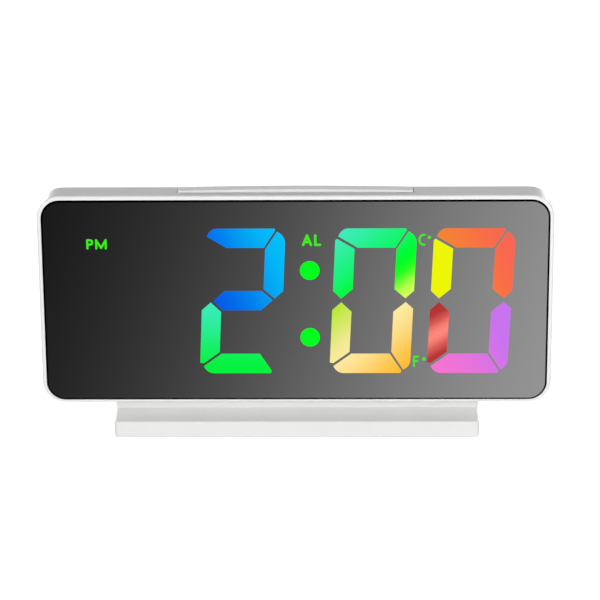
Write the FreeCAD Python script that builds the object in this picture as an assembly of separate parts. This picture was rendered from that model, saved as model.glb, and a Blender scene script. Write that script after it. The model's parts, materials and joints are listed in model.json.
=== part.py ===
import FreeCAD, Part
import math
import os
from FreeCAD import Placement, Rotation, Vector

# Digital desk clock: a leaning mirror-faced head on a flat foot.
# Lengths are in millimetres and angles in degrees.
# The head is drawn upright in its own frame, then leaned back on the foot as one:
# X is to the viewer's right, Y is the depth behind the rim's front,
# and Z is the height above the head's lower edge.

# Head
head_width = 180.0
head_height = 75.85
head_corner = 8.0
head_depth = 12.7
head_lean = 8.0
head_gap = 5.65
head_setback = 4.35

# Rim and its ledge for the mirror
rim_width = 1.38
rim_foot_width = 1.03
rim_depth = 0.9
rim_round = 0.75
ledge_thickness = 1.35
ledge_reach = 4.4
skirt_thickness = 1.2
skirt_depth = 3.0
frame_post_radius = 2.4
frame_post_length = 5.6
frame_post_inset = 6.0
frame_post_drop = 7.2

# Mirror
mirror_thickness = 2.0
mirror_recess = 0.15
mirror_gap = 0.15
tape_thickness = 0.5
tape_width = 2.2

# Rear cover
cover_wall = 1.6
cover_lap = 0.6
joint_gap = 0.15
cover_edge_round = 0.4
hump_top_drop = 12.2
hump_corner = 6.0
hump_edge_round = 2.5

# Digits
digit_count = 4
digit_slant = 0.045
digit_left_gap = 15.19
tens_gap = 4.3
colon_gap = 17.3
digit_gap = 5.78
digit_right_gap = 5.35
digit_foot_gap = 5.66
digit_top_gap = 2.86
colon_step = 9.43
colon_foot_step = 13.44
colon_top_step = 15.34
colon_radius = 3.52
bar_corner = 3.9

# Small lit marks
mark_height = 4.38
afternoon_mark_height = 3.88
mark_spacing = 0.5
alarm_mark_stroke = 1.0
afternoon_mark_stroke = 0.88
scale_mark_stroke = 0.8
mark_dot_radius = 0.66
mark_dot_offset = 3.9
mark_dot_drop = 1.3
afternoon_mark_step = 7.98
afternoon_mark_drop = 10.44
alarm_mark_step = 2.71
alarm_mark_drop = 9.37
upper_scale_step = 1.4
upper_scale_drop = 9.28
lower_scale_step = 0.17
lower_scale_rise = 7.87

# Reflector and its lit bars
reflector_side_step = 9.0
reflector_low = 5.15
reflector_top_step = 8.8
reflector_front_gap = 0.3
reflector_depth = 5.75
bar_thickness = 1.8
tab_reach = 5.6
tab_thickness = 1.2
tab_foot_step = 12.5
tab_top_step = 9.4
led_length = 2.0
led_width = 1.25
led_height = 0.8

# Display board
board_thickness = 1.6
board_top_step = 5.0
board_screw_inset = 1.8
board_screw_foot_step = 2.5
board_screw_top_step = 2.4
press_pad_radius = 1.6
press_pad_foot_step = 8.5
press_pad_top_step = 9.4
driver_inset = 18.0
driver_foot_step = 22.5
driver_pitch = 20.0

# Snooze bar
bar_width = 82.0
bar_front = 4.7
bar_depth = 5.6
bar_rise = 0.73
bar_crown = 0.45
bar_fall = 0.07
bar_foot_drop = 3.7
bar_wall = 1.2
bar_flange_reach = 2.5
bar_flange_thickness = 1.0
bar_flange_gap = 0.4
bar_edge_round = 0.45
slot_gap = 0.3
ramp_rise = 0.12
ramp_crown = 0.1
ramp_lead_crown = 0.02
snooze_switch_x = 25.0
snooze_switch_width = 4.6
snooze_switch_depth = 3.0
snooze_switch_height = 3.5
snooze_plunger_radius = 0.8
snooze_plunger_length = 1.6
snooze_post_radius = 1.3
snooze_travel = 0.8

# Battery box, its cells and door
cell_length = 44.5
cell_radius = 5.25
cell_gap = 1.0
cell_nub_radius = 1.9
cell_nub_length = 0.9
cell_edge_round = 0.6
spring_room = 6.1
bay_drop = 26.0
bay_side_gap = 0.75
bay_wall = 1.2
bay_floor = 1.2
bay_step = 0.3
cell_seat_gap = 0.15
plate_thickness = 0.4
plate_width = 8.0
spring_outer_radius = 3.4
spring_tip_radius = 2.2
door_side_overlap = 2.7
door_top_overlap = 1.8
door_foot_overlap = 3.6
door_thickness = 1.5
door_gap = 0.3
door_seat_gap = 0.15
door_ledge = 1.6
door_ledge_margin = 1.6
door_tab_width = 6.0
door_tab_x = 15.0
door_tab_thickness = 0.5
door_tab_reach = 1.9
door_tab_neck = 1.0
door_tab_slack = 0.4
door_notch_width = 14.0
door_notch_depth = 0.6
door_notch_height = 2.2
door_rib_count = 5
door_rib_pitch = 1.8
door_rib_width = 0.7
door_rib_length = 16.0

# Control board and its parts
control_side_gap = 2.3
control_width = 28.5
control_end_gap = 3.0
control_low = 4.5
control_top_step = 4.5
standoff_inset = 2.4
standoff_radius = 2.2
key_inset = 8.5
key_foot_step = 9.0
key_pitch = 8.6
key_switch_side = 6.0
key_switch_height = 3.4
key_plunger_radius = 1.7
key_plunger_length = 1.8
key_plunger_depth = 0.6
key_radius = 2.9
key_rise = 0.9
key_flange_radius = 3.9
key_flange_thickness = 0.8
key_flange_gap = 0.4
key_hole_gap = 0.25
key_edge_round = 0.4
key_names = ("set", "up", "down", "alarm", "mode")
chip_inset = 14.5
chip_foot_step = 15.5
crystal_inset = 5.0
crystal_foot_step = 4.5
crystal_radius = 1.1
crystal_length = 6.0
coin_radius = 10.0
coin_thickness = 3.2
coin_inset = 14.5
coin_foot_step = 37.5
coin_clip_wall = 1.5
coin_clip_floor = 0.5
coin_clearance = 0.15
ribbon_inset = 7.0
ribbon_width = 10.0
ribbon_thickness = 0.8
ribbon_foot_step = 21.5
sensor_inset = 7.0
sensor_foot_step = 9.5
sensor_radius = 1.25
sensor_lead_radius = 0.25
sensor_lead_length = 2.0
sensor_lead_pitch = 1.4

# Chips
chip_body_length = 10.0
chip_body_width = 4.0
chip_body_height = 1.6
chip_pin_count = 8
chip_pin_pitch = 1.27
chip_pin_width = 0.4
chip_pin_reach = 1.0
chip_pin_thickness = 0.2

# Power socket
socket_width = 8.94
socket_height = 3.2
socket_length = 7.3
socket_wall = 0.35
socket_tongue = 0.7
socket_back = 1.0
socket_margin = 0.35
socket_middle = 30.0

# Speaker
speaker_inset = 17.5
speaker_radius = 12.0
speaker_thickness = 4.2
speaker_ring_wall = 1.25
speaker_ring_height = 3.4
speaker_clearance = 0.15
speaker_magnet_share = 0.6
speaker_dish_share = 0.8
grille_hole_radius = 0.9
grille_ring_radii = (0.0, 3.4, 6.8)
grille_ring_counts = (1, 6, 12)
vent_width = 1.4
vent_length = 14.0
vent_pitch = 3.4
vent_count = 5
vent_middle = 16.0
vent_round_share = 0.49

# Wires
wire_radius = 0.45
wire_step = 1.7
speaker_wire_step = 0.7

# Screws, named by what they hold
pilot_clearance = 0.05
screw_radius = 0.9
screw_head_radius = 2.1
screw_head_height = 0.8
screw_hole_gap = 0.15
screw_sink = 0.9
screw_cross_share = 0.6
cover_screw_length = 7.0
board_screw_radius = 0.75
board_screw_head_radius = 1.8
board_screw_head_height = 0.55
board_screw_length = 6.0
control_screw_length = 5.0
control_screw_head_height = 1.0
control_screw_head_radius = 1.8
base_screw_x = 22.0
base_screw_step = 5.8
base_screw_radius = 1.25
base_screw_head_radius = 2.4
base_screw_head_height = 1.6
base_screw_length = 12.0
base_boss_radius = 3.2
base_boss_height = 12.0

# Foot
base_width = 129.6
base_depth = 45.0
base_thickness = 6.37
base_corner = 1.2
base_edge_round = 0.74
base_wall = 1.8
pad_thickness = 0.6
pad_length = 16.0
pad_width = 7.0
pad_inset = 4.0
pad_round = 2.0
plate_seat_gap = 0.2
base_plate_thickness = 1.5
base_column_radius = 2.6
base_column_inset = 8.5
base_plate_screw_length = 3.6
neck_setback = 11.1
neck_depth = 17.4
neck_wall = 1.8
neck_column_radius = 4.0

# Shared overrun of every cut
cut_over = 1.0

# Derived places of the display in the head's frame
mirror_back = mirror_recess + mirror_thickness
ledge_front = mirror_back + tape_thickness
ledge_back = ledge_front + ledge_thickness
cover_front = rim_depth + joint_gap
lap_end = ledge_back + joint_gap
panel_inside = head_depth - cover_wall
half_head = head_width / 2
reflector_front = mirror_back + reflector_front_gap
reflector_back = reflector_front + reflector_depth
board_back = reflector_back + board_thickness
half_reflector = half_head - reflector_side_step
reflector_high = head_height - reflector_top_step
tab_low = reflector_low + tab_foot_step
tab_high = reflector_high - tab_top_step
board_top = head_height - board_top_step
press_pad_heights = (reflector_low + press_pad_foot_step, reflector_high - press_pad_top_step)
driver_low = reflector_low + driver_foot_step
driver_heights = (driver_low, driver_low + driver_pitch)
board_screw_x = half_reflector - board_screw_inset
board_screw_heights = (reflector_low + board_screw_foot_step, reflector_high - board_screw_top_step)

# Derived size of one digit, and the centre of each from the right to the left
digit_gaps = digit_left_gap + tens_gap + colon_gap + digit_gap + digit_right_gap
digit_width = (half_reflector * 2 - digit_gaps) / digit_count
digit_base = reflector_low + digit_foot_gap
digit_height = reflector_high - digit_top_gap - digit_base
minute_centre = half_reflector - digit_right_gap - digit_width / 2
ten_minute_centre = minute_centre - digit_gap - digit_width
hour_digit_centre = ten_minute_centre - colon_gap - digit_width
tens_centre = hour_digit_centre - tens_gap - digit_width
colon_centre = hour_digit_centre + digit_width / 2 + colon_step
colon_low = digit_base + colon_foot_step
colon_high = digit_base + digit_height - colon_top_step

# Derived places of the snooze bar
slot_front = bar_front - slot_gap
slot_back = bar_front + bar_depth + slot_gap
slot_half = bar_width / 2 + slot_gap
bar_foot = head_height - bar_foot_drop
bar_flange_half = bar_width / 2 + bar_flange_reach
flange_top = head_height - cover_wall - bar_flange_gap

# Derived places of the battery box and the hump that covers it
hump_height = head_height - hump_top_drop
hump_inner_corner = hump_corner - cover_wall
bay_middle = hump_height - bay_drop
cell_pitch = cell_radius * 2 + cell_gap
cell_heights = (bay_middle - cell_pitch, bay_middle, bay_middle + cell_pitch)
bay_low = cell_heights[0] - cell_radius - bay_side_gap
bay_high = cell_heights[-1] + cell_radius + bay_side_gap
bay_end = (cell_length + spring_room) / 2
bay_depth = head_depth + bay_step
bay_floor_back = bay_depth + bay_floor
cell_axis_depth = bay_floor_back + cell_seat_gap + cell_radius
hump_inside = cell_axis_depth + cell_radius + cell_seat_gap
hump_depth = hump_inside + cover_wall
recess_half = bay_end + bay_wall + door_side_overlap
recess_low = bay_low - bay_wall - door_foot_overlap + door_gap
recess_high = bay_high + door_top_overlap

# Derived places of the control board and what stands on it
key_flange_start = hump_inside - key_flange_gap - key_flange_thickness
key_switch_back = key_flange_start - key_plunger_length + key_plunger_depth
control_back = key_switch_back - key_switch_height
control_front = control_back - board_thickness
control_left = recess_half + control_side_gap
control_right = control_left + control_width
control_high = hump_height - control_top_step
half_hump = control_right + control_end_gap
driver_x = driver_inset - half_hump
key_x = control_left + key_inset
key_heights = [control_low + key_foot_step + key_pitch * index for index in range(len(key_names))]
chip_x = control_left + chip_inset
chip_height = control_low + chip_foot_step
crystal_x = control_right - crystal_inset
crystal_low = control_low + crystal_foot_step
coin_x = control_left + coin_inset
coin_middle = control_low + coin_foot_step
ribbon_x = control_right - ribbon_inset
ribbon_height = control_low + ribbon_foot_step
sensor_x = control_right - sensor_inset
sensor_height = control_low + sensor_foot_step
standoff_places = [(x, z)
                   for x in (control_left + standoff_inset, control_right - standoff_inset)
                   for z in (control_low + standoff_inset, control_high - standoff_inset)]
speaker_x = speaker_inset - half_hump
speaker_middle = bay_middle
wire_depth = bay_floor_back + wire_step
speaker_wire_depth = control_back + speaker_wire_step

# Derived places of the frame's posts and the screws into the foot
frame_post_x = half_head - frame_post_inset
frame_post_heights = (frame_post_drop, head_height - frame_post_drop)
frame_post_end = ledge_back + frame_post_length
base_screw_depth = head_depth + base_screw_step

# Derived places of the foot
base_bottom = pad_thickness
base_top = base_bottom + base_thickness
head_front_y = head_setback - base_depth / 2
head_foot_z = base_top + head_gap
lean = math.radians(head_lean)
head_place = Placement(Vector(0, head_front_y, head_foot_z), Rotation(Vector(-1, 0, 0), head_lean))
across = Vector(1, 0, 0)
inward = Vector(0, 1, 0)
upward = Vector(0, 0, 1)

# Outlines of the seven bars of a digit, as shares of its width and height from its lower left corner.
# The third value is the corner's rounding as a share of the bar's own corner radius.
bar_outline_shares = {
    "top": ((0.034, 0.944, 0), (0.084, 1.0, 0.9), (0.862, 1.0, 0), (0.875, 0.987, 0),
            (0.743, 0.866, 0), (0.281, 0.866, 0)),
    "upper_right": ((0.893, 0.98, 0), (1.0, 0.945, 1.15), (1.0, 0.572, 0), (0.896, 0.519, 0),
                    (0.753, 0.583, 0), (0.754, 0.858, 0)),
    "lower_right": ((0.902, 0.497, 0), (1.0, 0.45, 0), (1.0, 0.043, 1), (0.912, 0.024, 0),
                    (0.754, 0.149, 0), (0.753, 0.429, 0)),
    "bottom": ((0.044, 0.051, 0), (0.102, 0, 1), (0.885, 0, 0), (0.895, 0.019, 0),
               (0.739, 0.139, 0), (0.262, 0.139, 0)),
    "lower_left": ((0.11, 0.496, 0), (0.244, 0.429, 0), (0.242, 0.149, 0), (0.048, 0.07, 0),
                   (0, 0.074, 0), (0, 0.441, 0)),
    "upper_left": ((0.022, 0.93, 0), (0.246, 0.86, 0), (0.246, 0.584, 0), (0.106, 0.518, 0),
                   (0, 0.571, 0), (0, 0.918, 0)),
    "middle": ((0.138, 0.504, 0), (0.271, 0.574, 0), (0.736, 0.574, 0), (0.875, 0.509, 0),
               (0.733, 0.438, 0), (0.26, 0.438, 0)),
}

# Paths of the small letters, each through points given as shares of a letter's width and height
letter_path_shares = {
    "P": (((0, 0), (0, 1), (0.55, 1), (0.88, 0.92), (1, 0.73), (0.88, 0.53), (0.55, 0.45), (0, 0.45)),),
    "M": (((0, 0), (0, 1), (0.5, 0.05), (1, 1), (1, 0)),),
    "A": (((0, 0), (0.5, 1), (1, 0)), ((0.2, 0.3), (0.8, 0.3))),
    "L": (((0, 1), (0, 0), (1, 0)),),
    "C": (((1, 0.99), (0.72, 1), (0.35, 0.92), (0.09, 0.73), (0, 0.5), (0.09, 0.27), (0.35, 0.08),
           (0.72, 0), (1, 0.01)),),
    "F": (((0, 0), (0, 1), (1, 1)), ((0, 0.55), (0.9, 0.55))),
}
letter_widths = {"P": 2.6, "M": 4.2, "A": 3.7, "L": 2.62, "C": 2.64, "F": 2.15}
# Each small mark: its letters, the left edge and foot of the first, their height and stroke,
# and whether a dot follows
ten_minute_side = ten_minute_centre + digit_width / 2
mark_places = (
    ("PM", afternoon_mark_step - half_reflector, reflector_high - afternoon_mark_drop,
     afternoon_mark_height, afternoon_mark_stroke, False),
    ("AL", colon_centre - alarm_mark_step, reflector_high - alarm_mark_drop,
     mark_height, alarm_mark_stroke, False),
    ("C", ten_minute_side + upper_scale_step, reflector_high - upper_scale_drop,
     mark_height, scale_mark_stroke, True),
    ("F", ten_minute_side - lower_scale_step, reflector_low + lower_scale_rise,
     mark_height, scale_mark_stroke, True),
)


def box(low, high):
    """Return a box between its lowest and highest corners."""
    size = [b - a for a, b in zip(low, high)]
    return Part.makeBox(size[0], size[1], size[2], Vector(low[0], low[1], low[2]))


def rod(radius, start, end):
    """Return a round bar from one point to another."""
    reach = Vector(end[0], end[1], end[2]) - Vector(start[0], start[1], start[2])
    return Part.makeCylinder(radius, reach.Length, Vector(start[0], start[1], start[2]), reach)


def pin(radius, x, z, front, back):
    """Return a round bar that runs straight into the head's depth."""
    return rod(radius, (x, front, z), (x, back, z))


def fuse(shapes):
    """Join shapes into one solid and drop the seams between them."""
    shapes = list(shapes)
    joined = shapes[0]
    if len(shapes) > 1:
        joined = joined.multiFuse(shapes[1:])
    return joined.removeSplitter()


def rounded_wire(points, depth):
    """Return a closed wire at one depth through (x, z, radius) corners, round where a radius is given."""
    count = len(points)
    edges = []
    starts = []
    ends = []
    arcs = []
    for index in range(count):
        x, z, radius = points[index]
        corner = Vector(x, depth, z)
        before = Vector(points[index - 1][0], depth, points[index - 1][1]) - corner
        after = Vector(points[(index + 1) % count][0], depth, points[(index + 1) % count][1]) - corner
        if radius > 0:
            half_turn = before.getAngle(after) / 2
            reach = radius / math.tan(half_turn)
            before.normalize()
            after.normalize()
            middle = before + after
            middle.normalize()
            spread = radius / math.sin(half_turn) - radius
            starts.append(corner + before * reach)
            ends.append(corner + after * reach)
            arcs.append(corner + middle * spread)
        else:
            starts.append(corner)
            ends.append(corner)
            arcs.append(None)
    for index in range(count):
        if arcs[index] is not None:
            edges.append(Part.Arc(starts[index], arcs[index], ends[index]).toShape())
        following = starts[(index + 1) % count]
        if (following - ends[index]).Length > joint_gap / 100:
            edges.append(Part.makeLine(ends[index], following))
    return Part.Wire(edges)


def prism(points, front, back):
    """Return a solid of one rounded outline between two depths."""
    return Part.Face(rounded_wire(points, front)).extrude(inward * (back - front))


def rounded_panel(left, right, low, high, corner, front, back):
    """Return a rounded rectangle between two depths."""
    points = ((left, low, corner), (right, low, corner), (right, high, corner), (left, high, corner))
    return prism(points, front, back)


def head_panel(inset, front, back):
    """Return the head's own outline, drawn in by an inset, between two depths."""
    return rounded_panel(inset - half_head, half_head - inset, inset, head_height - inset,
                         head_corner - inset, front, back)


def opening_panel(inset, front, back):
    """Return the outline of the rim's opening, drawn in by an inset, between two depths."""
    half = half_head - rim_width - inset
    return rounded_panel(-half, half, rim_foot_width + inset, head_height - rim_width - inset,
                         head_corner - rim_width - inset, front, back)


def round_edges(shape, radius, wanted):
    """Round the edges that a test picks out."""
    edges = [edge for edge in shape.Edges if wanted(edge)]
    return shape.makeFillet(radius, edges)


def at_depth(depth):
    """Return a test for edges that lie wholly at one depth."""
    def wanted(edge):
        bound = edge.BoundBox
        return max(abs(bound.YMin - depth), abs(bound.YMax - depth)) < joint_gap / 10
    return wanted


def crown_wire(half_width, low, edge_height, crown, depth):
    """Return an upright outline with a gently arched top."""
    left_top = Vector(-half_width, depth, edge_height)
    right_top = Vector(half_width, depth, edge_height)
    peak = Vector(0, depth, edge_height + crown)
    left_low = Vector(-half_width, depth, low)
    right_low = Vector(half_width, depth, low)
    return Part.Wire([Part.makeLine(left_low, right_low), Part.makeLine(right_low, right_top),
                      Part.Arc(right_top, peak, left_top).toShape(), Part.makeLine(left_top, left_low)])


def bar_shape(name, centre, front, back):
    """Return one bar of the digit centred at a place, slanted like the digits."""
    left = centre - digit_width / 2
    middle = digit_height / 2
    points = []
    for across_share, up_share, round_share in bar_outline_shares[name]:
        z = up_share * digit_height
        x = left + across_share * digit_width + (z - middle) * digit_slant
        points.append((x, digit_base + z, round_share * bar_corner))
    return prism(points, front, back)


def stroke_shape(start, end, stroke, front, back):
    """Return one straight stroke with round ends."""
    along = Vector(end[0] - start[0], 0, end[1] - start[1])
    along.normalize()
    side = Vector(-along.z, 0, along.x) * (stroke / 2)
    first = Vector(start[0], front, start[1])
    last = Vector(end[0], front, end[1])
    corners = [first + side, last + side, last - side, first - side, first + side]
    bar = Part.Face(Part.makePolygon(corners)).extrude(inward * (back - front))
    ends = [pin(stroke / 2, x, z, front, back) for x, z in (start, end)]
    return fuse([bar] + ends)


def letter_paths():
    """Return the stroke and the paths of every small letter in the head's frame."""
    letter_list = []
    for letters, left, foot, height, stroke, has_dot in mark_places:
        x = left + stroke / 2
        z = foot + stroke / 2
        rise = height - stroke
        for letter in letters:
            run = letter_widths[letter] - stroke
            paths = [[(x + a * run, z + b * rise) for a, b in path] for path in letter_path_shares[letter]]
            letter_list.append((stroke, paths))
            x += letter_widths[letter] + mark_spacing
    return letter_list


def mark_dots():
    """Return the places of the dots beside the small letters."""
    return [(left + mark_dot_offset, foot + height - mark_dot_drop)
            for letters, left, foot, height, stroke, has_dot in mark_places if has_dot]


def mark_shapes(front, back):
    """Return the small lit letters and dots as separate solids."""
    solids = []
    for stroke, paths in letter_paths():
        strokes = [stroke_shape(path[index], path[index + 1], stroke, front, back)
                   for path in paths for index in range(len(path) - 1)]
        solids.append(fuse(strokes))
    solids += [pin(mark_dot_radius, x, z, front, back) for x, z in mark_dots()]
    return solids


def mark_light_places():
    """Return where light reaches each small letter and dot: half way along the letter's first stroke."""
    places = []
    for stroke, paths in letter_paths():
        first, second = paths[0][:2]
        places.append(((first[0] + second[0]) / 2, (first[1] + second[1]) / 2))
    return places + mark_dots()


def colon_shapes(front, back):
    """Return the two round dots of the colon."""
    return [pin(colon_radius, colon_centre, z, front, back) for z in (colon_low, colon_high)]


# Which bars of which digit glow in which piece
lit_bars = {
    "hour_bars_blue": (hour_digit_centre, ("top", "upper_right", "middle")),
    "hour_bars_green": (hour_digit_centre, ("lower_left", "bottom")),
    "ten_minute_bars_green": (ten_minute_centre, ("top", "upper_left", "upper_right")),
    "ten_minute_bars_amber": (ten_minute_centre, ("lower_left", "bottom", "lower_right")),
    "minute_bars_orange": (minute_centre, ("top", "upper_right")),
    "minute_bar_yellow": (minute_centre, ("upper_left",)),
    "minute_bar_red": (minute_centre, ("lower_left",)),
    "minute_bars_magenta": (minute_centre, ("bottom", "lower_right")),
}
tens_bars = [name for name in bar_outline_shares if name != "upper_left"]
unlit_bars = [(tens_centre, name) for name in tens_bars]
unlit_bars += [(hour_digit_centre, name) for name in ("upper_left", "lower_right")]
unlit_bars += [(ten_minute_centre, "middle"), (minute_centre, "middle")]
all_bars = [(tens_centre, name) for name in tens_bars]
all_bars += [(centre, name) for centre in (hour_digit_centre, ten_minute_centre, minute_centre)
             for name in bar_outline_shares]


def make_front_frame():
    """Make the white rim, the ledge behind the mirror, the skirt and the four screw posts."""
    rim = round_edges(head_panel(0, 0, rim_depth), rim_round, at_depth(0))
    body = rim.fuse(head_panel(cover_lap + joint_gap, rim_depth, ledge_back))
    body = body.cut(opening_panel(0, -cut_over, ledge_front))
    body = body.cut(head_panel(ledge_reach, -cut_over, ledge_back + cut_over))
    skirt_inset = cover_wall + joint_gap
    skirt = head_panel(skirt_inset, ledge_back, ledge_back + skirt_depth)
    skirt = skirt.cut(head_panel(skirt_inset + skirt_thickness, 0, head_depth))
    keep_half = bar_flange_half + slot_gap
    skirt = skirt.cut(box((-keep_half, ledge_back, head_height / 2), (keep_half, head_depth, head_height)))
    body = body.fuse(skirt)
    for x in (-frame_post_x, frame_post_x):
        for z in frame_post_heights:
            foot = pin(frame_post_radius, x, z, ledge_front, frame_post_end)
            body = body.fuse(foot.cut(opening_panel(0, 0, ledge_front)))
    for x in (-frame_post_x, frame_post_x):
        for z in frame_post_heights:
            body = body.cut(pin(screw_radius + pilot_clearance, x, z, ledge_back, head_depth))
    return body.removeSplitter()


def make_mirror():
    """Make the half-mirror sheet that fills the rim."""
    return opening_panel(mirror_gap, mirror_recess, mirror_back)


def make_tape():
    """Make the adhesive ring between the mirror and the ledge."""
    outer = opening_panel(mirror_gap, mirror_back, ledge_front)
    return outer.cut(opening_panel(mirror_gap + tape_width, 0, head_depth))


def make_reflector():
    """Make the white block with a pocket behind every bar, dot and mark, and a tab at each side."""
    half = half_reflector
    body = box((-half, reflector_front, reflector_low), (half, reflector_back, reflector_high))
    tabs = [box((side * half - tab_reach, ledge_back, tab_low),
                (side * half + tab_reach, ledge_back + tab_thickness, tab_high)) for side in (-1, 1)]
    body = fuse([body] + tabs)
    start = reflector_front - cut_over
    end = reflector_back + cut_over
    pockets = [bar_shape(name, centre, start, end) for centre, name in all_bars]
    pockets += colon_shapes(start, end) + mark_shapes(start, reflector_front + bar_thickness)
    pockets += [pin(scale_mark_stroke / 2, x, z, start, end) for x, z in mark_light_places()]
    pilot_start = board_back - board_screw_length - pilot_clearance
    for x in (-board_screw_x, board_screw_x):
        for z in board_screw_heights:
            pockets.append(pin(board_screw_radius + pilot_clearance, x, z, pilot_start, end))
    return body.cut(pockets)


def make_leds():
    """Make one small lamp on the display board behind every bar, dot and mark."""
    lamps = []
    glow_back = reflector_front + bar_thickness
    places = [bar_shape(name, centre, reflector_front, glow_back) for centre, name in all_bars]
    places += colon_shapes(reflector_front, glow_back)
    for place in places:
        middle = place.CenterOfMass
        lamps.append(box((middle.x - led_length / 2, reflector_back - led_height, middle.z - led_width / 2),
                         (middle.x + led_length / 2, reflector_back, middle.z + led_width / 2)))
    small = scale_mark_stroke / 2 - pilot_clearance
    lamps += [pin(small, x, z, reflector_back - led_height, reflector_back) for x, z in mark_light_places()]
    return Part.makeCompound(lamps)


def make_display_board():
    """Make the board that carries the lamps, cut from one sheet with its four screw holes."""
    board = box((-half_reflector, reflector_back, reflector_low),
                (half_reflector, board_back, board_top))
    holes = [pin(board_screw_radius + screw_hole_gap, x, z, reflector_front, head_depth)
             for x in (-board_screw_x, board_screw_x) for z in board_screw_heights]
    return board.cut(holes)


def make_chip(x, z, face, outward):
    """Make a flat chip with two rows of pins on a board's face, standing out along the given sign."""
    body_start = face + outward * chip_pin_thickness
    body_end = face + outward * (chip_pin_thickness + chip_body_height)
    body = box((x - chip_body_width / 2, min(body_start, body_end), z - chip_body_length / 2),
               (x + chip_body_width / 2, max(body_start, body_end), z + chip_body_length / 2))
    shoulder = face + outward * (chip_pin_thickness + chip_body_height / 2)
    pins = []
    first = z - chip_pin_pitch * (chip_pin_count - 1) / 2
    for index in range(chip_pin_count):
        height = first + chip_pin_pitch * index
        for side in (-1, 1):
            inner = x + side * chip_body_width / 2
            outer = inner + side * chip_pin_reach
            leg = outer - side * chip_pin_thickness
            arm = box((min(inner, outer), min(shoulder, shoulder + outward * chip_pin_thickness),
                       height - chip_pin_width / 2),
                      (max(inner, outer), max(shoulder, shoulder + outward * chip_pin_thickness),
                       height + chip_pin_width / 2))
            foot = box((min(leg, outer), min(face, shoulder), height - chip_pin_width / 2),
                       (max(leg, outer), max(face, shoulder), height + chip_pin_width / 2))
            pins.append(arm.fuse(foot))
    return fuse([body] + pins)


def make_cover_shell():
    """Make the cover's outer form: a shallow tray, a deep hump and the low ramp before the snooze bar."""
    tray = round_edges(head_panel(0, cover_front, head_depth), cover_edge_round, at_depth(head_depth))
    hump_points = ((-half_hump, 0, 0), (half_hump, 0, 0),
                   (half_hump, hump_height, hump_corner), (-half_hump, hump_height, hump_corner))
    hump = prism(hump_points, panel_inside, hump_depth)
    hump = round_edges(hump, hump_edge_round, at_depth(hump_depth))
    ramp_low = head_height - cover_lap
    ramp_front = crown_wire(slot_half, ramp_low, head_height, ramp_lead_crown, cover_front)
    ramp_back = crown_wire(slot_half, ramp_low, head_height + ramp_rise, ramp_crown, slot_front)
    ramp = Part.makeLoft([ramp_front, ramp_back], True, True)
    return tray.fuse(hump).fuse(ramp)


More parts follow.
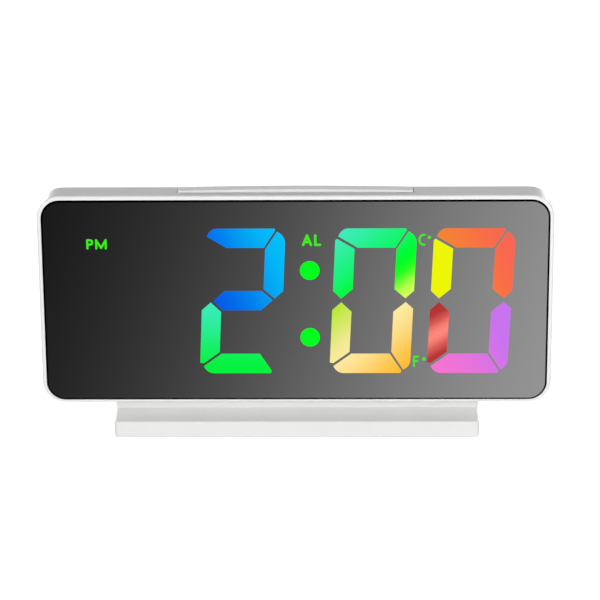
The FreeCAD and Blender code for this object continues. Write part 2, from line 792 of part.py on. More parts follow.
def make_rear_cover():
    """Make the rear cover with its battery box, bosses, key holes, grille, vents and socket hole."""
    body = make_cover_shell()
    over = hump_depth + cut_over
    body = body.cut(head_panel(cover_lap, 0, lap_end))
    body = body.cut(head_panel(cover_wall, 0, panel_inside))
    hollow_half = half_hump - cover_wall
    hollow_top = hump_height - cover_wall
    hollow_points = ((-hollow_half, cover_wall, 0), (hollow_half, cover_wall, 0),
                     (hollow_half, hollow_top, hump_inner_corner),
                     (-hollow_half, hollow_top, hump_inner_corner))
    hollow = prism(hollow_points, panel_inside - cut_over, hump_inside)
    bay_block = box((-bay_end - bay_wall, bay_depth, bay_low - bay_wall),
                    (bay_end + bay_wall, over, bay_high + bay_wall))
    ledge_half = recess_half + door_ledge_margin
    ledge_block = box((-ledge_half, hump_inside - door_ledge, recess_low - door_ledge_margin),
                      (ledge_half, over, recess_high + door_ledge_margin))
    hollow = hollow.cut(bay_block).cut(ledge_block)
    body = body.cut(hollow)
    panel_middle = head_depth - cover_wall / 2
    hump_wall_middle = hump_depth - cover_wall / 2
    additions = []
    for x in (-board_screw_x, board_screw_x):
        for z in press_pad_heights:
            additions.append(pin(press_pad_radius, x, z, board_back + pilot_clearance * 2, panel_middle))
    for x in (-frame_post_x, frame_post_x):
        for z in frame_post_heights:
            additions.append(pin(frame_post_radius, x, z, frame_post_end + joint_gap, panel_middle))
    for x, z in standoff_places:
        additions.append(pin(standoff_radius, x, z, control_back, hump_wall_middle))
    for x in (-base_screw_x, base_screw_x):
        additions.append(rod(base_boss_radius, (x, base_screw_depth, cover_wall / 2),
                             (x, base_screw_depth, base_boss_height)))
    ring_outer = speaker_radius + speaker_clearance + speaker_ring_wall
    ring_front = hump_inside - speaker_ring_height
    ring = pin(ring_outer, speaker_x, speaker_middle, ring_front, hump_wall_middle)
    ring_bore = pin(speaker_radius + speaker_clearance, speaker_x, speaker_middle, 0, hump_inside)
    additions.append(ring.cut(ring_bore))
    for addition in additions:
        body = body.fuse(addition)
    cuts = [box((-bay_end, bay_floor_back, bay_low), (bay_end, over, bay_high)),
            box((-recess_half, hump_inside, recess_low), (recess_half, over, recess_high)),
            box((-slot_half, slot_front, head_height / 2),
                (slot_half, slot_back, head_height + slot_half))]
    cuts += plate_slots()
    tab_half = door_tab_width / 2 + door_gap
    tab_room_low = recess_low - door_tab_reach - door_tab_slack
    for x in (-door_tab_x, door_tab_x):
        cuts.append(box((x - tab_half, hump_inside - door_ledge - cut_over, tab_room_low),
                        (x + tab_half, hump_inside, bay_low - bay_wall)))
    for z in key_heights:
        cuts.append(pin(key_radius + key_hole_gap, key_x, z, hump_inside - cut_over, over))
    for x in (-frame_post_x, frame_post_x):
        for z in frame_post_heights:
            cuts.append(pin(screw_radius + screw_hole_gap, x, z, frame_post_end, over))
            cuts.append(pin(screw_head_radius + screw_hole_gap, x, z, head_depth - screw_sink, over))
    for x, z in standoff_places:
        pilot_end = control_back + control_screw_length
        cuts.append(pin(screw_radius + pilot_clearance, x, z, control_front, pilot_end))
    for x in (-base_screw_x, base_screw_x):
        cuts.append(rod(base_screw_radius + pilot_clearance, (x, base_screw_depth, -cut_over),
                        (x, base_screw_depth, base_boss_height - cut_over)))
    cuts += grille_cuts(over) + vent_cuts(over)
    hole_low = socket_middle - socket_width / 2 - socket_margin
    hole_high = socket_middle + socket_width / 2 + socket_margin
    cuts.append(box((half_hump - cover_wall - cut_over, control_back - socket_margin, hole_low),
                    (half_hump + cut_over, control_back + socket_height + socket_margin, hole_high)))
    return body.cut(cuts).removeSplitter()


def grille_cuts(over):
    """Return the rings of round holes behind the speaker."""
    holes = []
    for radius, count in zip(grille_ring_radii, grille_ring_counts):
        for index in range(count):
            turn = 2 * math.pi * index / count
            holes.append(pin(grille_hole_radius, speaker_x + radius * math.cos(turn),
                             speaker_middle + radius * math.sin(turn), hump_inside - cut_over, over))
    return holes


def vent_cuts(over):
    """Return the row of upright slots below the speaker."""
    slots = []
    first = speaker_x - vent_pitch * (vent_count - 1) / 2
    for index in range(vent_count):
        x = first + vent_pitch * index
        slots.append(rounded_panel(x - vent_width / 2, x + vent_width / 2, vent_middle - vent_length / 2,
                                   vent_middle + vent_length / 2, vent_width * vent_round_share,
                                   hump_inside - cut_over, over))
    return slots


def plate_tab_places():
    """Return where the two end plates pass through the battery box: the side and the cell's height."""
    return ((1, cell_heights[0]), (-1, cell_heights[2]))


def plate_slots():
    """Return the slots that the two plate tabs pass through."""
    slots = []
    for side, z in plate_tab_places():
        inner = side * (bay_end - cut_over)
        outer = side * (bay_end + bay_wall + cut_over)
        slots.append(box((min(inner, outer), wire_depth - plate_thickness * 2, z - plate_width / 4),
                         (max(inner, outer), wire_depth + plate_thickness * 2, z + plate_width / 4)))
    return slots


def make_snooze_bar():
    """Make the arched snooze bar: a hollow cap that falls to the back, with a flange below the slot."""
    half = bar_width / 2
    edge_height = head_height + bar_rise
    front = crown_wire(half, bar_foot, edge_height, bar_crown, bar_front)
    cap = Part.Face(front).extrude(Vector(0, bar_depth, -bar_fall))
    trim = box((-head_width, 0, 0), (head_width, head_depth, bar_foot))
    cap = cap.cut(trim)

    def top_edge(edge):
        bound = edge.BoundBox
        return bound.ZMin > head_height - bar_fall - pilot_clearance
    cap = round_edges(cap, bar_edge_round, top_edge)
    flange = box((-bar_flange_half, bar_front + bar_edge_round, flange_top - bar_flange_thickness),
                 (bar_flange_half, bar_front + bar_depth - bar_edge_round, flange_top))
    body = cap.fuse(flange)
    hollow_top = head_height + bar_rise - bar_fall - bar_wall
    body = body.cut(box((bar_wall - half, bar_front + bar_wall, bar_foot - cut_over),
                        (half - bar_wall, bar_front + bar_depth - bar_wall, hollow_top)))
    switch_middle = reflector_back - snooze_switch_depth / 2
    for x in (-snooze_switch_x, snooze_switch_x):
        post = rod(snooze_post_radius, (x, switch_middle, bar_foot), (x, switch_middle, hollow_top))
        body = body.fuse(post)
    return body.removeSplitter()


def make_snooze_switches():
    """Make the two switch bodies on the display board's upper edge, each with a plunger hole."""
    top = bar_foot - snooze_travel - joint_gap * 2
    bodies = []
    low = top - snooze_switch_height
    for x in (-snooze_switch_x, snooze_switch_x):
        body = box((x - snooze_switch_width / 2, reflector_back - snooze_switch_depth, low),
                   (x + snooze_switch_width / 2, reflector_back, top))
        middle = reflector_back - snooze_switch_depth / 2
        bore = rod(snooze_plunger_radius + pilot_clearance * 2,
                   (x, middle, bar_foot - snooze_plunger_length - snooze_travel - joint_gap),
                   (x, middle, bar_foot))
        bodies.append(body.cut(bore))
    return Part.makeCompound(bodies)


def make_snooze_plungers():
    """Make the two plungers that the snooze bar rests on."""
    middle = reflector_back - snooze_switch_depth / 2
    return Part.makeCompound([rod(snooze_plunger_radius, (x, middle, bar_foot - snooze_plunger_length),
                                  (x, middle, bar_foot)) for x in (-snooze_switch_x, snooze_switch_x)])


def make_cells():
    """Make three round cells that lie side by side, every second one turned end for end."""
    cells = []
    for index, z in enumerate(cell_heights):
        side = 1 if index % 2 == 0 else -1
        nub_end = side * (bay_end - plate_thickness)
        shoulder = nub_end - side * cell_nub_length
        tail = nub_end - side * cell_length
        can = rod(cell_radius, (tail, cell_axis_depth, z), (shoulder, cell_axis_depth, z))
        can = round_edges(can, cell_edge_round, lambda edge: len(edge.Vertexes) == 1)
        nub = rod(cell_nub_radius, (shoulder, cell_axis_depth, z), (nub_end, cell_axis_depth, z))
        cells.append(can.fuse(nub))
    return Part.makeCompound(cells)


def make_springs():
    """Make the three tapered contact springs as plain cones, one behind each cell."""
    springs = []
    for index, z in enumerate(cell_heights):
        side = 1 if index % 2 == 0 else -1
        plate = -side * (bay_end - plate_thickness)
        tail = side * (bay_end - plate_thickness - cell_length)
        length = abs(tail - plate)
        springs.append(Part.makeCone(spring_outer_radius, spring_tip_radius, length,
                                     Vector(plate, cell_axis_depth, z), across * side))
    return Part.makeCompound(springs)


def make_plates():
    """Make the contact plates at both ends: two end plates with tabs, and two that link a pair of cells."""
    half = plate_width / 2
    plates = []
    low = cell_axis_depth - half
    high = cell_axis_depth + half
    groups = ((1, (0,)), (1, (1, 2)), (-1, (0, 1)), (-1, (2,)))
    for side, indices in groups:
        inner = side * (bay_end - plate_thickness)
        outer = side * bay_end
        plate = box((min(inner, outer), low, cell_heights[indices[0]] - half),
                    (max(inner, outer), high, cell_heights[indices[-1]] + half))
        if len(indices) == 1:
            z = cell_heights[indices[0]]
            tab_end = side * (bay_end + bay_wall + plate_thickness * 2)
            inner_edge = side * (bay_end - plate_thickness)
            tab = box((min(inner_edge, tab_end), wire_depth - plate_thickness / 2, z - plate_width / 5),
                      (max(inner_edge, tab_end), wire_depth + plate_thickness / 2, z + plate_width / 5))
            plate = plate.fuse(tab)
        plates.append(plate)
    return Part.makeCompound(plates)


def wire_run(points):
    """Return a round wire through a few points, with a ball at each turn."""
    pieces = []
    for index in range(len(points) - 1):
        pieces.append(rod(wire_radius, points[index], points[index + 1]))
    for point in points[1:-1]:
        pieces.append(Part.makeSphere(wire_radius, Vector(point[0], point[1], point[2])))
    return fuse(pieces)


def make_battery_wires():
    """Make the two wires from the end plates to the control board."""
    tab_end = bay_end + bay_wall + plate_thickness * 2
    solder_x = control_left + standoff_inset * 2
    low = cell_heights[0]
    short = wire_run([(tab_end, wire_depth, low), (solder_x, wire_depth, low),
                      (solder_x, control_front, low)])
    turn_x = -tab_end - wire_radius * 4
    over_box = bay_high + bay_wall + wire_radius * 3
    far_x = solder_x + standoff_radius * 2
    high = cell_heights[-1]
    long = wire_run([(-tab_end, wire_depth, high), (turn_x, wire_depth, high),
                     (turn_x, wire_depth, over_box), (far_x, wire_depth, over_box),
                     (far_x, control_front, over_box)])
    return Part.makeCompound([short, long])


def make_speaker():
    """Make the round speaker: a stepped can with a shallow ring on its sounding face."""
    back = hump_inside
    front = back - speaker_thickness
    can = pin(speaker_radius, speaker_x, speaker_middle, front + speaker_thickness / 3, back)
    magnet = pin(speaker_radius * speaker_magnet_share, speaker_x, speaker_middle, front, back)
    dish = pin(speaker_radius * speaker_dish_share, speaker_x, speaker_middle,
               back - speaker_thickness / 4, back + cut_over)
    return can.fuse(magnet).cut(dish)


def make_speaker_wires():
    """Make the pair of wires from the speaker, below the battery box, to the control board."""
    magnet_face = hump_inside - speaker_thickness
    wires = []
    for step in (0, 1):
        x = speaker_x + wire_radius * 4 * step
        z = bay_low - bay_wall - wire_radius * (3 + 4 * step)
        end_x = control_left + standoff_inset + wire_radius * 4 * step
        wires.append(wire_run([(x, magnet_face, speaker_middle), (x, speaker_wire_depth, speaker_middle),
                               (x, speaker_wire_depth, z), (end_x, speaker_wire_depth, z),
                               (end_x, control_back, z)]))
    return Part.makeCompound(wires)


def make_door():
    """Make the battery door: a flat lid with a round foot that it turns on, a finger notch, ribs and tabs."""
    left = door_gap - recess_half
    low = recess_low + door_gap
    high = recess_high - door_gap
    inner = hump_depth - door_thickness
    foot_radius = door_thickness / 2
    foot_depth = hump_depth - foot_radius
    foot_z = low + foot_radius
    lid = box((left, inner, foot_z), (-left, hump_depth, high))
    lid = lid.fuse(rod(foot_radius, (left, foot_depth, foot_z), (-left, foot_depth, foot_z)))
    tab_back = hump_inside - door_seat_gap * 2
    tab_front = tab_back - door_tab_thickness
    for x in (-door_tab_x, door_tab_x):
        left_side = x - door_tab_width / 2
        right_side = x + door_tab_width / 2
        neck = box((left_side, tab_front, low), (right_side, foot_depth, low + door_tab_neck))
        toe = box((left_side, tab_front, low - door_tab_reach), (right_side, tab_back, low + door_tab_neck))
        lid = lid.fuse(neck).fuse(toe)
    cuts = [box((-door_notch_width / 2, hump_depth - door_notch_depth, high - door_notch_height),
                (door_notch_width / 2, hump_depth + cut_over, high + cut_over))]
    first = high - door_notch_height * 2
    for index in range(door_rib_count):
        z = first - door_rib_pitch * index
        cuts.append(box((-door_rib_length / 2, hump_depth - door_notch_depth / 2, z - door_rib_width / 2),
                        (door_rib_length / 2, hump_depth + cut_over, z + door_rib_width / 2)))
    return lid.cut(cuts).removeSplitter()


def make_control_board():
    """Make the upright board behind the keys with its four screw holes."""
    board = box((control_left, control_front, control_low), (control_right, control_back, control_high))
    start = control_front - cut_over
    end = control_back + cut_over
    return board.cut([pin(screw_radius + screw_hole_gap, x, z, start, end) for x, z in standoff_places])


def make_key_switches():
    """Make the five square key switches, each with a round hole for its plunger."""
    bodies = []
    half = key_switch_side / 2
    for z in key_heights:
        body = box((key_x - half, control_back, z - half), (key_x + half, key_switch_back, z + half))
        bodies.append(body.cut(pin(key_plunger_radius + pilot_clearance * 2, key_x, z,
                                   key_switch_back - key_plunger_depth * 2 - joint_gap,
                                   key_switch_back + cut_over)))
    return Part.makeCompound(bodies)


def make_key_plunger(z):
    """Make the plunger of the key at one height."""
    return pin(key_plunger_radius, key_x, z, key_switch_back - key_plunger_depth, key_flange_start)


def make_key(z):
    """Make the round key at one height, with a flange behind the cover's wall."""
    cap = pin(key_radius, key_x, z, key_flange_start, hump_depth + key_rise)
    cap = round_edges(cap, key_edge_round, at_depth(hump_depth + key_rise))
    flange_end = key_flange_start + key_flange_thickness
    return cap.fuse(pin(key_flange_radius, key_x, z, key_flange_start, flange_end)).removeSplitter()


def make_coin_clip():
    """Make the holder of the coin cell: a square block with a round well."""
    half = coin_radius + coin_clip_wall
    floor = control_front - coin_clip_floor
    front = floor - coin_thickness
    block = box((coin_x - half, front, coin_middle - half),
                (coin_x + half, control_front, coin_middle + half))
    return block.cut(pin(coin_radius + coin_clearance, coin_x, coin_middle, front - cut_over, floor))


def make_coin_cell():
    """Make the coin cell that keeps the time."""
    back = control_front - coin_clip_floor
    cell = pin(coin_radius, coin_x, coin_middle, back - coin_thickness, back)
    return round_edges(cell, cell_edge_round / 2, at_depth(back - coin_thickness))


def make_crystal():
    """Make the small tuning can that lies on the control board."""
    depth = control_front - crystal_radius
    top = crystal_low + crystal_length
    return rod(crystal_radius, (crystal_x, depth, crystal_low), (crystal_x, depth, top))


def make_sensor():
    """Make the temperature bead on two leads behind the vents' end of the control board."""
    bead_middle = control_back + sensor_lead_length + sensor_radius
    pieces = [Part.makeSphere(sensor_radius, Vector(sensor_x, bead_middle, sensor_height))]
    for side in (-1, 1):
        x = sensor_x + side * sensor_lead_pitch / 2
        pieces.append(pin(sensor_lead_radius, x, sensor_height, control_back, bead_middle))
    return fuse(pieces)


def make_socket():
    """Make the power socket: a round-ended metal sleeve with a tongue, open at the cover's side."""
    mouth = half_hump - cover_wall / 2
    back = mouth - socket_length
    middle = control_back + socket_height / 2
    low = socket_middle - socket_width / 2
    high = socket_middle + socket_width / 2

    def sleeve(inset, start, end):
        radius = socket_height / 2 - inset
        flat = socket_width / 2 - socket_height / 2
        core = box((start, middle - radius, socket_middle - flat),
                   (end, middle + radius, socket_middle + flat))
        ends = [rod(radius, (start, middle, z), (end, middle, z))
                for z in (socket_middle - flat, socket_middle + flat)]
        return fuse([core] + ends)
    shell = sleeve(0, back, mouth).cut(sleeve(socket_wall, back + socket_back, mouth + cut_over))
    tongue = box((back, middle - socket_tongue / 2, low + socket_height / 2),
                 (mouth - socket_back, middle + socket_tongue / 2, high - socket_height / 2))
    return shell.fuse(tongue).removeSplitter()


def make_ribbon():
    """Make the flat ribbon from the display board's back to the control board's front."""
    half = ribbon_width / 2
    return box((ribbon_x - half, board_back, ribbon_height),
               (ribbon_x + half, control_front, ribbon_height + ribbon_thickness))


def screw_in(x, z, face, radius, length, head_radius, head_height, toward):
    """Make a screw whose head sits on a face and whose shank runs the signed way into the head."""
    shank = pin(radius, x, z, face, face + toward * length)
    head_end = face - toward * head_height
    head = pin(head_radius, x, z, face, head_end)
    slot_start, slot_end = sorted((head_end, face - toward * head_height / 2))
    half_slot = radius / 4
    level = box((x - head_radius, slot_start, z - half_slot), (x + head_radius, slot_end, z + half_slot))
    upright = box((x - half_slot, slot_start, z - head_radius), (x + half_slot, slot_end, z + head_radius))
    ring = pin(head_radius * screw_cross_share, x, z, face, head_end)
    return shank.fuse(head).cut(level.common(ring)).cut(upright.common(ring))


def make_cover_screws():
    """Make the four screws that hold the rear cover to the frame's posts."""
    face = head_depth - screw_sink
    return Part.makeCompound([screw_in(x, z, face, screw_radius, cover_screw_length, screw_head_radius,
                                       screw_head_height, -1)
                              for x in (-frame_post_x, frame_post_x) for z in frame_post_heights])


def make_board_screws():
    """Make the four screws that hold the display board to the reflector."""
    return Part.makeCompound([screw_in(x, z, board_back, board_screw_radius, board_screw_length,
                                       board_screw_head_radius, board_screw_head_height, -1)
                              for x in (-board_screw_x, board_screw_x) for z in board_screw_heights])


def make_control_screws():
    """Make the four screws that hold the control board to its standoffs."""
    return Part.makeCompound([screw_in(x, z, control_front, screw_radius, control_screw_length,
                                       control_screw_head_radius, control_screw_head_height, 1)
                              for x, z in standoff_places])


def base_block(low_inset, bottom, top, corner):
    """Return the foot's plan shape, drawn in by an inset, between two heights."""
    half_x = base_width / 2 - low_inset
    half_y = base_depth / 2 - low_inset
    points = ((-half_x, -half_y, corner), (half_x, -half_y, corner),
              (half_x, half_y, corner), (-half_x, half_y, corner))
    flat = Part.Face(rounded_wire(points, 0))
    flat.rotate(Vector(0, 0, 0), across, -90)
    flat.rotate(Vector(0, 0, 0), upward, 180)
    flat.translate(upward * bottom)
    return flat.extrude(upward * (top - bottom))


def head_slope(y, drop):
    """Return the height at one place below the head's own flat underside."""
    return head_foot_z - (y - head_front_y) * math.tan(lean) - drop


def neck_prism(inset, bottom, drop):
    """Return the neck between the foot's top and the head's underside, drawn in by an inset."""
    front = neck_setback - base_depth / 2 + inset
    back = neck_setback + neck_depth - base_depth / 2 - inset
    half = base_width / 2 - inset
    corners = [Vector(-half, front, bottom), Vector(-half, front, head_slope(front, drop)),
               Vector(-half, back, head_slope(back, drop)), Vector(-half, back, bottom),
               Vector(-half, front, bottom)]
    return Part.Face(Part.makePolygon(corners)).extrude(across * (half * 2))


def leaned(shape):
    """Move a piece of the head to its leaning place on the foot."""
    moved = shape.copy()
    moved.Placement = head_place.multiply(moved.Placement)
    return moved


def base_screw_shape(radius, low, high, x):
    """Return a bar along one of the two screws between the foot and the head."""
    return leaned(rod(radius, (x, base_screw_depth, low), (x, base_screw_depth, high)))


def plate_screw_places():
    """Return the plan places of the foot plate's four screws."""
    half_x = base_width / 2 - base_column_inset
    half_y = base_depth / 2 - base_column_inset
    return [(x, y) for x in (-half_x, half_x) for y in (-half_y, half_y)]


def make_base_shell():
    """Make the foot's shell with its neck, the screw columns and the two leaning bosses."""
    block = base_block(0, base_bottom, base_top, base_corner)

    def level_edge(edge):
        bound = edge.BoundBox
        return bound.ZMax - bound.ZMin < joint_gap / 10
    block = round_edges(block, base_edge_round, level_edge)
    body = block.fuse(neck_prism(0, base_top - base_wall / 2, 0))
    inside_top = base_top - base_wall
    body = body.cut(base_block(base_wall, 0, inside_top, base_corner / 2))
    body = body.cut(neck_prism(neck_wall, inside_top - cut_over, neck_wall))
    plate_top = base_bottom + base_plate_thickness
    for x, y in plate_screw_places():
        body = body.fuse(rod(base_column_radius, (x, y, plate_top), (x, y, inside_top + base_wall / 2)))
    clip = neck_prism(neck_wall / 2, base_bottom, neck_wall / 2)
    for x in (-base_screw_x, base_screw_x):
        column = base_screw_shape(neck_column_radius, -base_thickness * 2, 0, x).common(clip)
        column = column.cut(box((-base_width, -base_depth, 0), (base_width, base_depth, inside_top)))
        body = body.fuse(column)
    cuts = []
    below = -base_thickness * 2
    for x in (-base_screw_x, base_screw_x):
        cuts.append(base_screw_shape(base_screw_radius + screw_hole_gap, below, cut_over, x))
        cuts.append(base_screw_shape(base_screw_head_radius + screw_hole_gap, below, -neck_wall * 2, x))
    pilot_end = base_bottom + base_plate_screw_length
    for x, y in plate_screw_places():
        cuts.append(rod(screw_radius + pilot_clearance, (x, y, 0), (x, y, pilot_end)))
    return body.cut(cuts).removeSplitter()


def make_base_plate():
    """Make the plate that closes the foot from below."""
    inset = base_wall + plate_seat_gap
    plate = base_block(inset, base_bottom, base_bottom + base_plate_thickness, base_corner / 2)
    cuts = []
    head_top = base_bottom + screw_head_height
    for x, y in plate_screw_places():
        cuts.append(rod(screw_radius + screw_hole_gap, (x, y, 0), (x, y, base_top)))
        cuts.append(rod(screw_head_radius + screw_hole_gap, (x, y, 0), (x, y, head_top)))
    return plate.cut(cuts)


def make_base_plate_screws():
    """Make the four screws that hold the foot plate."""
    screws = []
    for x, y in plate_screw_places():
        head_top = base_bottom + screw_head_height
        head = rod(screw_head_radius, (x, y, base_bottom), (x, y, head_top))
        shank = rod(screw_radius, (x, y, head_top), (x, y, base_bottom + base_plate_screw_length))
        screws.append(head.fuse(shank))
    return Part.makeCompound(screws)


def make_base_screws():
    """Make the two screws that hold the head on the neck."""
    screws = []
    seat = -neck_wall * 2
    for x in (-base_screw_x, base_screw_x):
        shank = base_screw_shape(base_screw_radius, seat, seat + base_screw_length, x)
        head = base_screw_shape(base_screw_head_radius, seat - base_screw_head_height, seat, x)
        screws.append(shank.fuse(head))
    return Part.makeCompound(screws)


def make_pads():
    """Make the four thin pads under the foot."""
    pads = []
    half_x = base_width / 2 - base_wall - plate_seat_gap - pad_inset
    half_y = base_depth / 2 - base_wall - plate_seat_gap
    for side_x in (-1, 1):
        for side_y in (-1, 1):
            x = side_x * (half_x - pad_length / 2 - base_column_inset)
            y = side_y * (half_y - pad_width / 2 - plate_seat_gap)
            pad = box((x - pad_length / 2, y - pad_width / 2, 0),
                      (x + pad_length / 2, y + pad_width / 2, pad_thickness))
            upright = [edge for edge in pad.Edges if edge.BoundBox.ZLength > pad_thickness / 2]
            pads.append(pad.makeFillet(pad_round, upright))
    return Part.makeCompound(pads)


def save(name, shape):
    """Write one piece as a file under its own name."""
    shape.exportStep("parts/" + name + ".step")
    box_size = shape.BoundBox
    print(name, len(shape.Solids), shape.isValid(), round(shape.Volume, 1),
          [round(v, 2) for v in (box_size.XMin, box_size.XMax, box_size.YMin, box_size.YMax,
                                 box_size.ZMin, box_size.ZMax)])


def main():
    """Build every piece and write it."""
    os.makedirs("parts", exist_ok=True)
    glow_back = reflector_front + bar_thickness
    head_pieces = {
        "front_frame": make_front_frame(),
        "mirror_lens": make_mirror(),
        "lens_tape": make_tape(),
        "digit_reflector": make_reflector(),
        "unlit_bars": Part.makeCompound([bar_shape(name, centre, reflector_front, glow_back)
                                         for centre, name in unlit_bars]),
        "colon_dots": Part.makeCompound(colon_shapes(reflector_front, glow_back)),
        "indicator_marks": Part.makeCompound(mark_shapes(reflector_front, glow_back)),
        "segment_leds": make_leds(),
        "display_board": make_display_board(),
        "driver_chips": Part.makeCompound([make_chip(driver_x, z, board_back, 1)
                                           for z in driver_heights]),
        "display_board_screws": make_board_screws(),
        "ribbon_cable": make_ribbon(),
        "rear_cover": make_rear_cover(),
        "housing_screws": make_cover_screws(),
        "snooze_bar": make_snooze_bar(),
        "snooze_switches": make_snooze_switches(),
        "snooze_plungers": make_snooze_plungers(),
        "battery_door": make_door(),
        "aaa_cells": make_cells(),
        "battery_springs": make_springs(),
        "battery_plates": make_plates(),
        "battery_wires": make_battery_wires(),
        "control_board": make_control_board(),
        "control_board_screws": make_control_screws(),
        "control_chip": make_chip(chip_x, chip_height, control_front, -1),
        "clock_crystal": make_crystal(),
        "coin_cell": make_coin_cell(),
        "coin_cell_holder": make_coin_clip(),
        "key_switches": make_key_switches(),
        "power_socket": make_socket(),
        "temperature_sensor": make_sensor(),
        "speaker": make_speaker(),
        "speaker_wires": make_speaker_wires(),
    }
    for piece, (centre, names) in lit_bars.items():
        head_pieces[piece] = Part.makeCompound([bar_shape(name, centre, reflector_front, glow_back)
                                                for name in names])
    for name, z in zip(key_names, key_heights):
        head_pieces[name + "_key"] = make_key(z)
        head_pieces[name + "_key_plunger"] = make_key_plunger(z)
    for name, shape in head_pieces.items():
        save(name, leaned(shape))
    base_pieces = {
        "base_shell": make_base_shell(),
        "base_plate": make_base_plate(),
        "base_plate_screws": make_base_plate_screws(),
        "base_screws": make_base_screws(),
        "base_pads": make_pads(),
    }
    for name, shape in base_pieces.items():
        save(name, shape)


main()
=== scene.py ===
"""Dress a digital desk clock: white plastic, a half-mirror face and glowing digits, in a plain studio."""

import json
import math

import bmesh
import bpy
import numpy as np
from bpy.props import FloatProperty, FloatVectorProperty, IntProperty, PointerProperty
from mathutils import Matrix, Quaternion, Vector


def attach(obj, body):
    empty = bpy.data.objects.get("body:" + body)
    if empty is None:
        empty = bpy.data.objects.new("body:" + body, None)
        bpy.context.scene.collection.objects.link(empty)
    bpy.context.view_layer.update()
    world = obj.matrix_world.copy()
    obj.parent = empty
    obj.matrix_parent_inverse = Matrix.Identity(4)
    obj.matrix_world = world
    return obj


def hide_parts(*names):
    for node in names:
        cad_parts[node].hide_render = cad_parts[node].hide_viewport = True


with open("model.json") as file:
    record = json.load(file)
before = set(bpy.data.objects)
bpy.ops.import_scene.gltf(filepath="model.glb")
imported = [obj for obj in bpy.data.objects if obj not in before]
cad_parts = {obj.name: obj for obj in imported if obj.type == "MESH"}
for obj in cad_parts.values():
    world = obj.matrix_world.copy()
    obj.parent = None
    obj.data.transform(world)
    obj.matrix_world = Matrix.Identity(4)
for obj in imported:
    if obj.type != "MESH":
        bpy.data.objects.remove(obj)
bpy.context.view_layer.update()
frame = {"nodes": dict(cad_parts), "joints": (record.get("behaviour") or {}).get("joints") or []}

bl_info = {
    "name": "Desk Clock",
    "version": (1, 0, 0),
    "blender": (4, 5, 0),
    "location": "View3D > Sidebar > Desk Clock",
    "description": "Finishes the pieces of a mirror-faced desk clock and sets a plain studio around it",
    "category": "Object",
}

# The head leans back, so its own directions come from its joints: a key presses forwards, the bar down
JOINTS = {joint["name"]: joint for joint in frame["joints"]}
ACROSS = np.array((1.0, 0.0, 0.0))
BACK = -np.array(JOINTS["set_press"]["axis"])
UP = -np.array(JOINTS["snooze_press"]["axis"])
MM = 0.001

# Black and white as plain linear colours
BLACK = (0.0, 0.0, 0.0)
WHITE = (1.0, 1.0, 1.0)


def points_of(node):
    """Return the points of a node's mesh, one row each."""
    mesh = frame["nodes"][node].data
    flat = np.empty(len(mesh.vertices) * 3)
    mesh.vertices.foreach_get("co", flat)
    return flat.reshape(-1, 3)


def reach(node, direction):
    """Return the lowest and highest place of a node along a direction."""
    along = points_of(node) @ direction
    return along.min(), along.max()


def screen(red, green, blue):
    """Return the linear colour that shows as these values of 0 to 255, by a screen's standard curve."""
    share = np.array((red, green, blue)) / 255
    linear = np.where(share <= 0.04045, share / 12.92, ((share + 0.055) / 1.055) ** 2.4)
    return tuple(float(part) for part in linear)


class Value:
    """One number or colour that varies over a surface. Plain sums on it add the nodes that work them out."""

    def __init__(self, tree, socket):
        self.tree = tree
        self.socket = socket

    def sum(self, operation, *terms):
        """Return the result of one Math node on these terms."""
        return self.tree.node("ShaderNodeMath", {"operation": operation}, dict(enumerate(terms)))

    def __add__(self, other):
        return self.sum("ADD", self, other)

    __radd__ = __add__

    def __sub__(self, other):
        return self.sum("SUBTRACT", self, other)

    def __rsub__(self, other):
        return self.sum("SUBTRACT", other, self)

    def __mul__(self, other):
        return self.sum("MULTIPLY", self, other)

    __rmul__ = __mul__

    def __truediv__(self, other):
        return self.sum("DIVIDE", self, other)

    def __rtruediv__(self, other):
        return self.sum("DIVIDE", other, self)

    def __pow__(self, other):
        return self.sum("POWER", self, other)

    def __mod__(self, other):
        return self.sum("FLOORED_MODULO", self, other)

    def __abs__(self):
        return self.sum("ABSOLUTE", self)

    def most(self, other):
        """Return the larger of two values."""
        return self.sum("MAXIMUM", self, other)

    def least(self, other):
        """Return the smaller of two values."""
        return self.sum("MINIMUM", self, other)

    def growth(self):
        """Return the natural exponent of a value."""
        return self.sum("EXPONENT", self)

    def step(self, start, end):
        """Return a soft step from 0 to 1 as the value goes from start to end."""
        settings = {"interpolation_type": "SMOOTHSTEP"}
        return self.tree.node("ShaderNodeMapRange", settings, {0: self, 1: start, 2: end})


class Tree:
    """A tree of shader nodes under construction. It starts empty, and every node in it comes from node."""

    def __init__(self, graph):
        self.graph = graph
        self.graph.nodes.clear()

    def join(self, socket, value):
        """Give one socket a plain value or link it to a worked-out one."""
        if isinstance(value, Value):
            self.graph.links.new(value.socket, socket)
        elif socket.type == "RGBA":
            socket.default_value = (*value[:3], 1.0)
        else:
            socket.default_value = value

    def node(self, kind, settings=None, inputs=None, output=0):
        """Add one node with its settings and inputs. Return an output, or an end node's own input."""
        made = self.graph.nodes.new(kind)
        for name, value in (settings or {}).items():
            if name == "stops":
                ramp = made.color_ramp
                while len(ramp.elements) < len(value):
                    ramp.elements.new(1.0)
                for element, (position, colour) in zip(ramp.elements, value):
                    element.position = position
                    element.color = (*colour, 1.0)
            else:
                setattr(made, name, value)
        for name, value in (inputs or {}).items():
            self.join(made.inputs[name], value)
        ends = made.outputs if len(made.outputs) else made.inputs
        return Value(self, ends[output])

    def shown(self):
        """Return 1 for what the camera sees itself, in gloss or through glass, and 0 for all other rays."""
        kinds = ("Is Camera Ray", "Is Glossy Ray", "Is Transmission Ray")
        camera, gloss, glass = [self.node("ShaderNodeLightPath", output=kind) for kind in kinds]
        return camera.most(gloss.most(glass))


